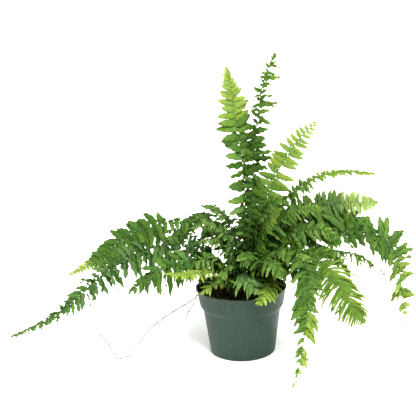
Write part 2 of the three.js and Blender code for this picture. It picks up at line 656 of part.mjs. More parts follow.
function runnerHole({ route }) {
  const [x, y, z] = route[0];
  const radius = RUNNER_RADIUS + 2 * CLEARANCE;
  const drill = new THREE.CylinderGeometry(radius, radius, 30, 6).rotateX(Math.PI / 2);
  return solidOf(drill.translate(x, y, z - CLEARANCE + 15));
}

const potSolid = pot();
const runnerMeshes = RUNNERS.map((runner) => meshOf(runner.name, runnerGeometry(runner), RUNNER_TAN, 0.8));
const stalkHoles = FRONDS.map((frond) => stalkHole(ribStations(frond)));
const mixSolid = pottingMix([...stalkHoles, ...RUNNERS.map(runnerHole)]);
const standing = [potSolid, mixSolid, ...runnerMeshes.map((mesh) => solidOf(mesh.geometry))];

const fern = new THREE.Group();
fern.add(meshOf("pot", geometryFromSolid(potSolid), POT_GREEN, 0.5));
fern.add(meshOf("potting_mix", geometryFromSolid(mixSolid), MIX_BROWN, 0.95));
fern.add(...growFronds(standing.map((solid) => ({ solid, box: boxOf(solid) }))));
fern.add(...runnerMeshes);

export default fern;
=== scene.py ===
# A sword fern in a plastic nursery pot, dressed for a picture: the pot, the potting mix that fills it,
# every frond with its stalk, rib and leaflets, the wiry runners, and the roots and scales of the crown.
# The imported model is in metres. The fern's own sizes are given here in millimetres and scaled once.
import math

import bpy
import numpy as np
from mathutils import Matrix, Vector, noise


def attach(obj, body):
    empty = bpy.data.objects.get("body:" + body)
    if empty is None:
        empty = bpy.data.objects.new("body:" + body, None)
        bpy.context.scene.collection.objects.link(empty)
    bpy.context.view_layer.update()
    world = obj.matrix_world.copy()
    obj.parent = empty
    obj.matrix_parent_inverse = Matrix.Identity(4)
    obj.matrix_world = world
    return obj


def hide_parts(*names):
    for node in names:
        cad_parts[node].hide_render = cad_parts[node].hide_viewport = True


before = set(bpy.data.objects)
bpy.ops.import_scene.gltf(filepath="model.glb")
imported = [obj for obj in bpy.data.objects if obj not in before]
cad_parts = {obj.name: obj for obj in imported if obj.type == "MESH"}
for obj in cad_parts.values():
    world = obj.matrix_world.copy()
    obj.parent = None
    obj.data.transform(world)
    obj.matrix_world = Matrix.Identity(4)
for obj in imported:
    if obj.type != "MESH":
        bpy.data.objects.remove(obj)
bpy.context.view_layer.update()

# ---------------------------------------------------------------- camera, floor and light
# The photograph's view: a camera 1.45 m in front of the pot and 0.6 m up, that looks down 13 degrees.
# The plant stands on white paper under a large soft light from the front right, with white all round.

MM = 0.001
EYE_DISTANCE, EYE_HEIGHT = 1.445, 0.593
FOCAL_PIXELS, PICTURE_PIXELS = 900, 416  # from the eye to the picture, and across the picture
SENSOR = 36
FLOOR_SIDES, FLOOR_DROP = 48, 0.0004
FLOOR_RINGS = ((30, 0), (60, 4), (80, 12))  # radius and height, in metres

camera_data = bpy.data.cameras.new("camera")
camera_data.sensor_width = SENSOR
camera_data.lens = FOCAL_PIXELS / PICTURE_PIXELS * SENSOR
camera_data.clip_start, camera_data.clip_end = 0.05, 600
camera = bpy.data.objects.new("camera", camera_data)
bpy.context.scene.collection.objects.link(camera)

pan, tilt, lean = -0.035, 0.233, -0.039  # radians
forward = Vector((math.sin(pan) * math.cos(tilt), math.cos(pan) * math.cos(tilt), -math.sin(tilt)))
level = forward.cross(Vector((0, 0, 1))).normalized()
upward = level.cross(forward)
right = level * math.cos(lean) + upward * math.sin(lean)
top = upward * math.cos(lean) - level * math.sin(lean)
camera.matrix_world = Matrix((
    (right.x, top.x, -forward.x, 0),
    (right.y, top.y, -forward.y, -EYE_DISTANCE),
    (right.z, top.z, -forward.z, EYE_HEIGHT),
    (0, 0, 0, 1),
))
bpy.context.scene.camera = camera
bpy.context.scene.view_settings.view_transform = "Standard"
bpy.context.scene.view_settings.look = "High Contrast"


def node(tree, kind, inputs=None, **settings):
    """Adds one node to a material. inputs holds plain values, and sockets that are linked in."""
    made = tree.nodes.new(kind)
    for name, value in settings.items():
        setattr(made, name, value)
    for name, value in (inputs or {}).items():
        if isinstance(value, bpy.types.NodeSocket):
            tree.links.new(value, made.inputs[name])
        else:
            made.inputs[name].default_value = value
    return made


def new_material(name, roughness, specular):
    """A material with one Principled shader, its node tree, that shader and the place on the object."""
    material = bpy.data.materials.new(name)
    material.use_nodes = True
    tree = material.node_tree
    shader = tree.nodes["Principled BSDF"]
    shader.inputs["Roughness"].default_value = roughness
    shader.inputs["Specular IOR Level"].default_value = specular
    return material, tree, shader, node(tree, "ShaderNodeTexCoord").outputs["Object"]


def piece(name, points, faces, materials, metres=False):
    """A smooth mesh object from points in millimetres and lists of corner numbers."""
    mesh = bpy.data.meshes.new(name)
    scaled = np.asarray(points, float) * (1 if metres else MM)
    mesh.from_pydata(scaled.tolist(), [], faces)
    mesh.polygons.foreach_set("use_smooth", [True] * len(mesh.polygons))
    for material in materials:
        mesh.materials.append(material)
    made = bpy.data.objects.new(name, mesh)
    bpy.context.scene.collection.objects.link(made)
    return made


def around(sides):
    """The angles of that many points set evenly around a circle."""
    return [2 * math.pi * i / sides for i in range(sides)]


paper, _, shader, _ = new_material("white_paper", 0.9, 0.2)
shader.inputs["Base Color"].default_value = (0.93, 0.93, 0.93, 1)
floor_points = [(0, 0, -FLOOR_DROP)]
floor_points += [(reach * math.cos(turn), reach * math.sin(turn), rise - FLOOR_DROP)
                 for reach, rise in FLOOR_RINGS for turn in around(FLOOR_SIDES)]
floor_faces = [(0, 1 + i, 1 + (i + 1) % FLOOR_SIDES) for i in range(FLOOR_SIDES)]
for ring in (1, 1 + FLOOR_SIDES):
    for i in range(FLOOR_SIDES):
        j = (i + 1) % FLOOR_SIDES
        floor_faces.append((ring + i, ring + FLOOR_SIDES + i, ring + FLOOR_SIDES + j, ring + j))
floor = piece("floor", floor_points, floor_faces, [paper], metres=True)


def soft_light(name, towards_light, strength, spread):
    """A light so far off that it falls alike on everything, and so wide that its shadows are soft."""
    lamp = bpy.data.lights.new(name, "SUN")
    lamp.energy, lamp.angle = strength, math.radians(spread)
    made = bpy.data.objects.new(name, lamp)
    made.rotation_euler = Vector(towards_light).to_track_quat("Z", "Y").to_euler()
    bpy.context.scene.collection.objects.link(made)
    return made


key = soft_light("key", (0.5, -0.85, 1.15), 4.3, 36)
key.data.color = (1, 0.985, 0.92)
overhead = soft_light("overhead", (-0.25, 0.3, 1), 1.3, 110)
overhead.visible_glossy = False  # highlights come from the key light alone

world = bpy.data.worlds.new("studio")
bpy.context.scene.world = world
world.use_nodes = True
world.node_tree.nodes["Background"].inputs["Color"].default_value = (1, 1, 1, 1)
world.node_tree.nodes["Background"].inputs["Strength"].default_value = 0.65
world.cycles_visibility.glossy = False

# ---------------------------------------------------------------- pot
# A 6 inch nursery pot: one thin shell of dark grey-green polypropylene, injection moulded, with a wide
# collar so that pots nest, six drain holes in its floor, a satin skin and a little dust and handling wear.

POT_HEIGHT = 114
POT_TURNS = 160
DRAIN_COUNT, DRAIN_CIRCLE, DRAIN_RADIUS, DRAIN_SIDES = 6, 40, 4.5, 28


def rounded(outline, steps=5):
    """The outline of (radius, z, fillet) corners as (radius, z) points, with each corner rounded."""
    line = []
    for before, corner, after in zip(outline, outline[1:], outline[2:]):
        at, fillet = np.array(corner[:2], float), corner[2]
        if not fillet:
            line.append(at)
            continue
        back, on = np.array(before[:2]) - at, np.array(after[:2]) - at
        start, end = at + back / np.linalg.norm(back) * fillet, at + on / np.linalg.norm(on) * fillet
        for t in np.linspace(0, 1, steps):
            line.append((1 - t) ** 2 * start + 2 * t * (1 - t) * at + t ** 2 * end)
    return [np.array(outline[0][:2], float), *line, np.array(outline[-1][:2], float)]


def bridge(low, high):
    """The faces between two rings of corner numbers. A ring may be one corner, over and over."""
    ends = list(zip(low, [*low[1:], low[0]], [*high[1:], high[0]], high))
    return [list(dict.fromkeys(corners)) for corners in ends]


def turned(line, turns, warp):
    """Points and faces of a body turned about Z from a line of (radius, z) that ends on the axis."""
    points, rings = [], []
    for radius, z in line:
        if radius < 1e-6:
            rings.append([len(points)] * turns)
            points.append((0, 0, z))
            continue
        rings.append(list(range(len(points), len(points) + turns)))
        for angle in around(turns):
            r, height = warp(radius, z, angle)
            points.append((r * math.cos(angle), r * math.sin(angle), height))
    return points, [face for low, high in zip(rings, rings[1:]) for face in bridge(low, high)]


pot_outline = [
    (0, 0, 0), (22, 0, 0), (48, 0, 0), (51.2, 0, 0), (54.6, 1.2, 1.1), (55.4, 5, 1.2), (60, 40.5, 0),
    (64.9, 75.6, 1.6), (70.4, 84, 2.0), (72.7, 97, 0), (75.0, 110, 0.4), (75.9, 111.2, 0.5),
    (76.0, 114, 0.7), (74.4, 114, 0.7), (74.0, 111, 0.4), (69.1, 84.2, 1.6), (63.6, 76, 1.4),
    (58.8, 41, 0), (53.2, 3.6, 0.6), (51.8, 2, 0.6), (20, 2, 0), (0, 2, 0),
]


def pot_warp(radius, z, angle):
    """The rim has gone slightly out of round, and the thin wall isn't quite even."""
    high = (z / POT_HEIGHT) ** 2
    out = 0.35 * math.cos(2 * angle + 0.9) + 0.12 * math.cos(5 * angle) - 0.3
    return radius + out * high * min(radius / 60, 1), z + 0.15 * high * (math.cos(2 * angle - 0.4) - 1)


def mix_colours(tree, factor, low, high, mode="MIX"):
    """The socket of one colour laid over another."""
    made = node(tree, "ShaderNodeMix", {0: factor, 6: low, 7: high}, data_type="RGBA", blend_type=mode)
    return made.outputs[2]


def ramp(tree, factor, stops):
    """The socket of a colour ramp through (place, colour) stops."""
    made = node(tree, "ShaderNodeValToRGB", {"Fac": factor})
    elements = made.color_ramp.elements
    while len(elements) < len(stops):
        elements.new(0.5)
    for element, (place, colour) in zip(elements, stops):
        element.position, element.color = place, (*colour, 1)
    return made.outputs["Color"]


def speckle(tree, where, scale, detail=3, stretch=(1, 1, 1), turn=(0, 0, 0)):
    """The socket of a soft noise of that many lumps per metre, stretched by shares."""
    placed = node(tree, "ShaderNodeMapping", {"Vector": where, "Scale": stretch, "Rotation": turn})
    lumps = {"Vector": placed.outputs[0], "Scale": scale, "Detail": detail}
    return node(tree, "ShaderNodeTexNoise", lumps).outputs["Fac"]


def between(tree, value, low, high, to_low=0.0, to_high=1.0):
    """The socket of a value stretched from one range to another, and held inside it."""
    ends = {"Value": value, "From Min": low, "From Max": high, "To Min": to_low, "To Max": to_high}
    return node(tree, "ShaderNodeMapRange", ends).outputs["Result"]


def reckon(tree, operation, *values):
    """The socket of a sum, a product or the like of numbers and sockets."""
    return node(tree, "ShaderNodeMath", dict(enumerate(values)), operation=operation).outputs[0]


def bumps(tree, height, strength, depth, under=None):
    """The socket of a bumpy surface, with bumps that many metres deep, over another if there is one."""
    inputs = {"Height": height, "Strength": strength, "Distance": depth}
    if under:
        inputs["Normal"] = under
    return node(tree, "ShaderNodeBump", inputs).outputs[0]


def cover(tree, shader, colour, normal=None):
    """Links a material's colour and bumpy surface to its shader."""
    tree.links.new(colour, shader.inputs["Base Color"])
    if normal:
        tree.links.new(normal, shader.inputs["Normal"])


pot_skin, tree, shader, here = new_material("pot_plastic", 0.42, 0.4)
height = node(tree, "ShaderNodeSeparateXYZ", {"Vector": here}).outputs["Z"]
clouds = speckle(tree, here, 22, 4)
colour = ramp(tree, clouds, [(0.3, (0.020, 0.043, 0.0325)), (0.72, (0.027, 0.054, 0.041))])
flow = speckle(tree, here, 240, 3, stretch=(1, 1, 0.07))  # lines of the moulding, down the wall
colour = mix_colours(tree, between(tree, flow, 0.55, 0.8, 0, 0.5), colour, (0.039, 0.069, 0.056, 1))
scrapes = speckle(tree, here, 380, 1, stretch=(1, 1, 0.16), turn=(0.5, 0.25, 0))
colour = mix_colours(tree, between(tree, scrapes, 0.71, 0.78, 0, 0.5), colour, (0.12, 0.155, 0.13, 1))
dust = reckon(tree, "MULTIPLY", between(tree, speckle(tree, here, 900, 4), 0.45, 0.75),
              between(tree, height, 0.094, 0.114))
soil_splash = reckon(tree, "MULTIPLY", dust, between(tree, speckle(tree, here, 60, 2), 0.4, 0.7))
colour = mix_colours(tree, soil_splash, colour, (0.05, 0.036, 0.022, 1))
dull = reckon(tree, "ADD", between(tree, clouds, 0.3, 0.7, 0.36, 0.5),
              between(tree, scrapes, 0.71, 0.78, 0, 0.2))
tree.links.new(dull, shader.inputs["Roughness"])
ripple = bumps(tree, flow, 0.12, 0.0006)
cover(tree, shader, colour, bumps(tree, speckle(tree, here, 1500, 2), 0.1, 0.0003, under=ripple))

pot = piece("nursery_pot", *turned(rounded(pot_outline), POT_TURNS, pot_warp), [pot_skin])

drill_points, drill_faces = [], []
for hole in range(DRAIN_COUNT):
    middle = (hole + 0.5) / DRAIN_COUNT * 2 * math.pi
    low = list(range(len(drill_points), len(drill_points) + DRAIN_SIDES))
    high = [corner + DRAIN_SIDES for corner in low]
    for z in (-2, 4):
        for edge in around(DRAIN_SIDES):
            drill_points.append((DRAIN_CIRCLE * math.cos(middle) + DRAIN_RADIUS * math.cos(edge),
                                 DRAIN_CIRCLE * math.sin(middle) + DRAIN_RADIUS * math.sin(edge), z))
    drill_faces += [*bridge(low, high), low[::-1], high]
drill = piece("drill", drill_points, drill_faces, [])
cut = pot.modifiers.new("drain_holes", "BOOLEAN")
cut.object, cut.operation, cut.solver = drill, "DIFFERENCE", "EXACT"
drilled = bpy.data.meshes.new_from_object(pot.evaluated_get(bpy.context.evaluated_depsgraph_get()))
pot.modifiers.clear()
pot.data = drilled
bpy.data.objects.remove(drill)
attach(pot, "root")
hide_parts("pot")

# ---------------------------------------------------------------- potting mix
# Peat and composted bark, poured in to 13 mm below the rim and settled: a dark, loose, lumpy bed with
# crumbs, flat chips of bark and short straw-coloured fibres lying on it, the palest near the front.

MIX_TOP = 101
MIX_RADIUS = 72
CRUMBS, FIBRES = 2600, 150
random = np.random.default_rng(11)


def mix_height(x, y):
    """Height of the bed: the long swells of the poured mix with finer lumps on them."""
    swell = 1.6 * (math.sin(x * 0.21 + 1) * math.cos(y * 0.17) + 0.6 * math.sin(x * 0.11 - y * 0.31))
    fine = noise.fractal(Vector((x * 0.14, y * 0.14, 3.7)), 0.9, 2.1, 4)
    return MIX_TOP + swell * 0.8 + 1.3 * fine - 1.2 * (math.hypot(x, y) / MIX_RADIUS) ** 6


mix_line = [(0, 2.35), (51, 2.35), (52.6, 4), (63, 76), (68.6, 84.2), (71.6, 97)]
mix_line += [(radius, MIX_TOP) for radius in np.linspace(71.9, 1.2, 46)] + [(0, MIX_TOP)]


def mix_warp(radius, z, angle):
    """Only the top of the mix is lumpy."""
    if z < MIX_TOP:
        return radius, z
    return radius, mix_height(radius * math.cos(angle), radius * math.sin(angle))


mix_skin, tree, shader, here = new_material("potting_mix", 0.95, 0.25)
grains = speckle(tree, here, 420, 6)
colour = ramp(tree, grains, [(0.38, (0.024, 0.021, 0.012)), (0.5, (0.075, 0.056, 0.032)),
                             (0.62, (0.19, 0.135, 0.075)), (0.76, (0.4, 0.3, 0.17))])
patch = between(tree, speckle(tree, here, 34, 2), 0.42, 0.66)
colour = mix_colours(tree, patch, colour, (0.5, 0.42, 0.36, 1), "MULTIPLY")
cover(tree, shader, colour, bumps(tree, grains, 0.9, 0.0016))

bed = piece("potting_bed", *turned([np.array(p, float) for p in mix_line], 150, mix_warp), [mix_skin])
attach(bed, "root")
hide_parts("potting_mix")


def stored(tree, name):
    """The socket of a number that the mesh holds for each of its points or faces."""
    return node(tree, "ShaderNodeAttribute", attribute_name=name).outputs["Fac"]


def shade_points(mesh, **values):
    """Stores one number for each point of a mesh under each name, for its material to read."""
    for name, numbers in values.items():
        mesh.attributes.new(name, "FLOAT", "POINT").data.foreach_set("value", np.asarray(numbers, "f"))


# A crumb starts as a ball of 20 triangles, whose corners are those of three crossed golden rectangles.
golden = (1 + math.sqrt(5)) / 2
signs = [(s, t * golden) for s in (1, -1) for t in (1, -1)]
ball = np.array([(0, s, t) for s, t in signs] + [(s, t, 0) for s, t in signs]
                + [(t, 0, s) for s, t in signs], float) / 1.9
ball_faces = []
for a in range(12):
    for b in range(a + 1, 12):
        for c in range(b + 1, 12):
            sides = [np.linalg.norm(ball[p] - ball[q]) for p, q in ((a, b), (b, c), (a, c))]
            if max(sides) < 1.2:
                outward = np.dot(np.cross(ball[b] - ball[a], ball[c] - ball[a]), ball[a]) > 0
                ball_faces.append((a, b, c) if outward else (a, c, b))

crumb_points, crumb_faces, crumb_shade = [], [], []
for i in range(CRUMBS):
    reach, turn = MIX_RADIUS * 0.985 * math.sqrt(random.random()), random.uniform(0, 2 * math.pi)
    x, y = reach * math.cos(turn), reach * math.sin(turn)
    chip = random.random() < 0.22
    size = random.uniform(1.2, 3.2) if chip else random.uniform(0.4, 1.5)
    flat = (1, random.uniform(0.35, 0.8), random.uniform(0.16, 0.35)) if chip else (1, 0.85, 0.7)
    spin = Matrix.Rotation(random.uniform(0, 6.3), 3, "Z") @ Matrix.Rotation(random.normal(0, 0.4), 3, "X")
    lump = ball * (1 + random.uniform(-0.28, 0.28, (12, 1))) * flat * size @ np.array(spin).T
    start = len(crumb_points)
    crumb_points += (lump + (x * 0.985, y * 0.985, mix_height(x, y) + size * flat[2] * 0.35)).tolist()
    crumb_faces += [(start + a, start + b, start + c) for a, b, c in ball_faces]
    pale = random.random() ** 3 * (1.0 if chip else 0.6)
    pale += (0.5 if y < -30 and x < 25 else 0) * random.random()
    crumb_shade += [pale] * len(ball)

crumb_skin, tree, shader, here = new_material("bark_crumbs", 0.9, 0.3)
colour = ramp(tree, stored(tree, "pale"), [(0.0, (0.04, 0.033, 0.019)), (0.35, (0.13, 0.092, 0.052)),
                                           (0.7, (0.32, 0.23, 0.12)), (1.0, (0.55, 0.43, 0.26))])
grain = speckle(tree, here, 900, 3)
colour = mix_colours(tree, between(tree, grain, 0.3, 0.7), colour, (0.45, 0.4, 0.35, 1), "MULTIPLY")
cover(tree, shader, colour, bumps(tree, grain, 0.6, 0.0008))

crumbs = piece("bark_crumbs", crumb_points, crumb_faces, [crumb_skin])
crumbs.data.polygons.foreach_set("use_smooth", [False] * len(crumbs.data.polygons))
shade_points(crumbs.data, pale=crumb_shade)
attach(crumbs, "root")


def tube(line, radii, sides=6):
    """Points and faces of a round thread along a line, closed at both ends. radii may be one number."""
    line = np.asarray(line, float)
    radii = np.broadcast_to(radii, len(line))
    along = np.gradient(line, axis=0)
    along /= np.linalg.norm(along, axis=1)[:, None]
    across = np.cross(along[0], (0.31, 0.2, 0.93))
    points = []
    for at, way, radius in zip(line, along, radii):
        across = across - way * (across @ way)
        across /= np.linalg.norm(across)
        over = np.cross(way, across)
        for turn in around(sides):
            points.append(at + radius * (math.cos(turn) * across + math.sin(turn) * over))
    rings = np.arange(len(points)).reshape(-1, sides).tolist()
    faces = [face for low, high in zip(rings, rings[1:]) for face in bridge(low, high)]
    return points, [*faces, rings[0][::-1], rings[-1]]


def curve(knots, steps=8):
    """A smooth line through the knots, with that many steps between two of them."""
    knots = np.asarray(knots, float)
    knots = np.vstack([2 * knots[0] - knots[1], knots, 2 * knots[-1] - knots[-2]])
    t = np.linspace(0, 1, steps, endpoint=False)[:, None]
    line = []
    for before, start, end, after in zip(knots, knots[1:], knots[2:], knots[3:]):
        leave, arrive = (end - before) / 2, (after - start) / 2
        line.append(start + leave * t + (3 * (end - start) - 2 * leave - arrive) * t ** 2
                    + (2 * (start - end) + leave + arrive) * t ** 3)
    return np.vstack([*line, knots[-2:-1]])


def many(name, threads, material):
    """One piece of many closed threads, each given as points and faces."""
    points, faces = [], []
    for more, corners in threads:
        faces += [[len(points) + c for c in face] for face in corners]
        points += list(more)
    made = piece(name, points, faces, [material])
    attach(made, "root")
    return made


def held_in(at, most):
    """A place on the mix, moved in to at most that far from its middle."""
    return at * most / np.hypot(*at) if np.hypot(*at) > most else at


def way_of(angle):
    """The level direction at an angle."""
    return np.array([math.cos(angle), math.sin(angle)])


def patchy_skin(name, roughness, patches, detail, dark, pale, grain=0, depth=0):
    """A dull skin that wanders between two colours, and has so many fine bumps per metre if any."""
    skin, tree, shader, here = new_material(name, roughness, 0.3)
    colour = ramp(tree, speckle(tree, here, patches, detail), [(0.35, dark), (0.65, pale)])
    cover(tree, shader, colour, bumps(tree, speckle(tree, here, grain, 2), 0.4, depth) if grain else None)
    return skin


fibre_skin = patchy_skin("straw_fibre", 0.8, 300, 3, (0.09, 0.05, 0.025), (0.34, 0.23, 0.12))
fibres = []
for i in range(FIBRES):
    reach, turn = MIX_RADIUS * 0.95 * math.sqrt(random.random()), random.uniform(0, 2 * math.pi)
    at, way = reach * way_of(turn), random.uniform(0, 2 * math.pi)
    knots = []
    for step in range(5):
        at = held_in(at, 70)
        knots.append((*at, mix_height(*at) + random.uniform(0.4, 1.6)))
        way += random.normal(0, 0.6)
        at = at + random.uniform(1.0, 3.4) * way_of(way)
    fibres.append(tube(curve(knots, 4), random.uniform(0.1, 0.28), 5))
many("straw_fibres", fibres, fibre_skin)

# ---------------------------------------------------------------- rootlets
# Wiry brown roots that have come up out of the mix and lie on it in loops, mostly at the front, and two
# that have crept over the rim and down the front of the pot.

ROOTLETS = 46
root_skin = patchy_skin("rootlet", 0.7, 180, 4, (0.09, 0.066, 0.042), (0.28, 0.22, 0.15), 1500, 0.0002)

rootlets = []
for i in range(ROOTLETS):
    turn = random.uniform(0, 2 * math.pi) if i % 3 == 0 else random.uniform(3.6, 5.4)
    reach = random.uniform(30, 62)
    at = reach * way_of(turn)
    way, bend = random.uniform(0, 2 * math.pi), random.choice((-1, 1)) * random.uniform(0.25, 0.6)
    knots = [(*at, mix_height(*at) - 1.5)]
    for step in range(random.integers(5, 11)):
        at = held_in(at + 4.5 * way_of(way), 71)
        way += bend + random.normal(0, 0.35)
        knots.append((*at, mix_height(*at) + random.uniform(0.3, 2.6)))
    line = curve(knots, 5)
    rootlets.append(tube(line, np.linspace(random.uniform(0.3, 0.5), 0.12, len(line)), 6))


def on_wall(x, z, clear=0.5):
    """A point on the front of the pot's wall, at x and z."""
    radius = np.interp(z, [76, 84, 97, 111, 114], [65, 70.6, 72.9, 76, 76.2]) + clear
    return x, -math.sqrt(radius ** 2 - x ** 2), z


for inside, wall in [
    ([(4, -50, 101), (-4, -58, 105), (-9, -67, 107), (-12, -72, 113)],
     [(-13, 114.9), (-16, 112), (-22, 106), (-28, 97), (-32, 90), (-35, 84)]),
    ([(-20, -44, 101), (-16, -55, 104.5), (-19, -64, 106), (-21, -70, 113)],
     [(-22, 114.9), (-22.5, 111), (-20, 103), (-21, 97)]),
]:
    line = curve(inside + [on_wall(x, z) for x, z in wall], 6)
    rootlets.append(tube(line, np.linspace(0.42, 0.18, len(line)), 6))
many("rootlets", rootlets, root_skin)

# ---------------------------------------------------------------- fronds
# Each frond grew as one piece: a wiry stalk, brown and scaly where it leaves the mix, a ribbed green
# midrib, and a ladder of thin leaflets, each with a small ear on the side towards the tip, scalloped
# edges, a sunken midrib and forked side veins. Old ones are dark and grey-green, young tips yellow-green.

FOOT_BOTTOM, FOOT_TOP = 88, 105  # the stalks stand in the mix and are plumb up to here
STALK_RADIUS, RIB_TIP_RADIUS = 1.25, 0.45
RIB_END, LEAFY_END = 0.97, 0.968  # shares of the route where the rib and its leaflets end
RIB_STEPS = 90
LEAF_ROWS, LEAF_COLUMNS = 17, 7  # points along a leaflet and across it
BLADE = 0.3  # thickness of a leaflet
SHORTEST = 2.2  # length of the last leaflets at the tip
MOST_LEAN, LEAST_REACH = 0.6, 0.5  # shares of a leaflet's direction along the rib and out from it
VEIN_SPACING = 1.3  # from one side vein to the next

# root: where the stalk stands in the mix. route: the points that its rib passes, to the tip.
# bare: share of the rib with no leaflets. spacing: from one leaflet to the next where they start.
# crowding: over 1, the leaflets stand closer towards the tip. leaf: length of the longest.
# taper: over 1, how late they shorten towards the tip. lean: towards the tip, at the first and the last.
# roll: turns of the blade about the rib, evenly from its start to its tip. droop, twist: how far
# leaflets hang and turn. skew: how much less the left ones lean, and more the right ones. All in degrees.
# right_age: the right ones' age as a share of the left ones'. grey: how dull the green is.
# The rest is one number, a few set evenly from the first leaflets to the tip, or (place, value) stops
# between 0 there and 1 at the tip: the age, 0 for the oldest green and 1 for the youngest, on which
# each leaflet later lays painted shade near its rib; size, of the leaflets; right, of the right ones
# against the left; broad, of their width; curl, how dried and rolled they are; gaps, the share that
# has fallen.
USUAL = dict(
    bare=0.18, roll=0, twist=24, taper=3.2, crowding=1.25, lean=(4, 48), skew=0, young=False, size=1,
    right=1, broad=1, curl=(0.35, 0.4), gaps=0.02, age_and_shade=((0, 0.06), (0.6, 0.22), (1, 0.45)), right_age=1,
    grey=0.12)
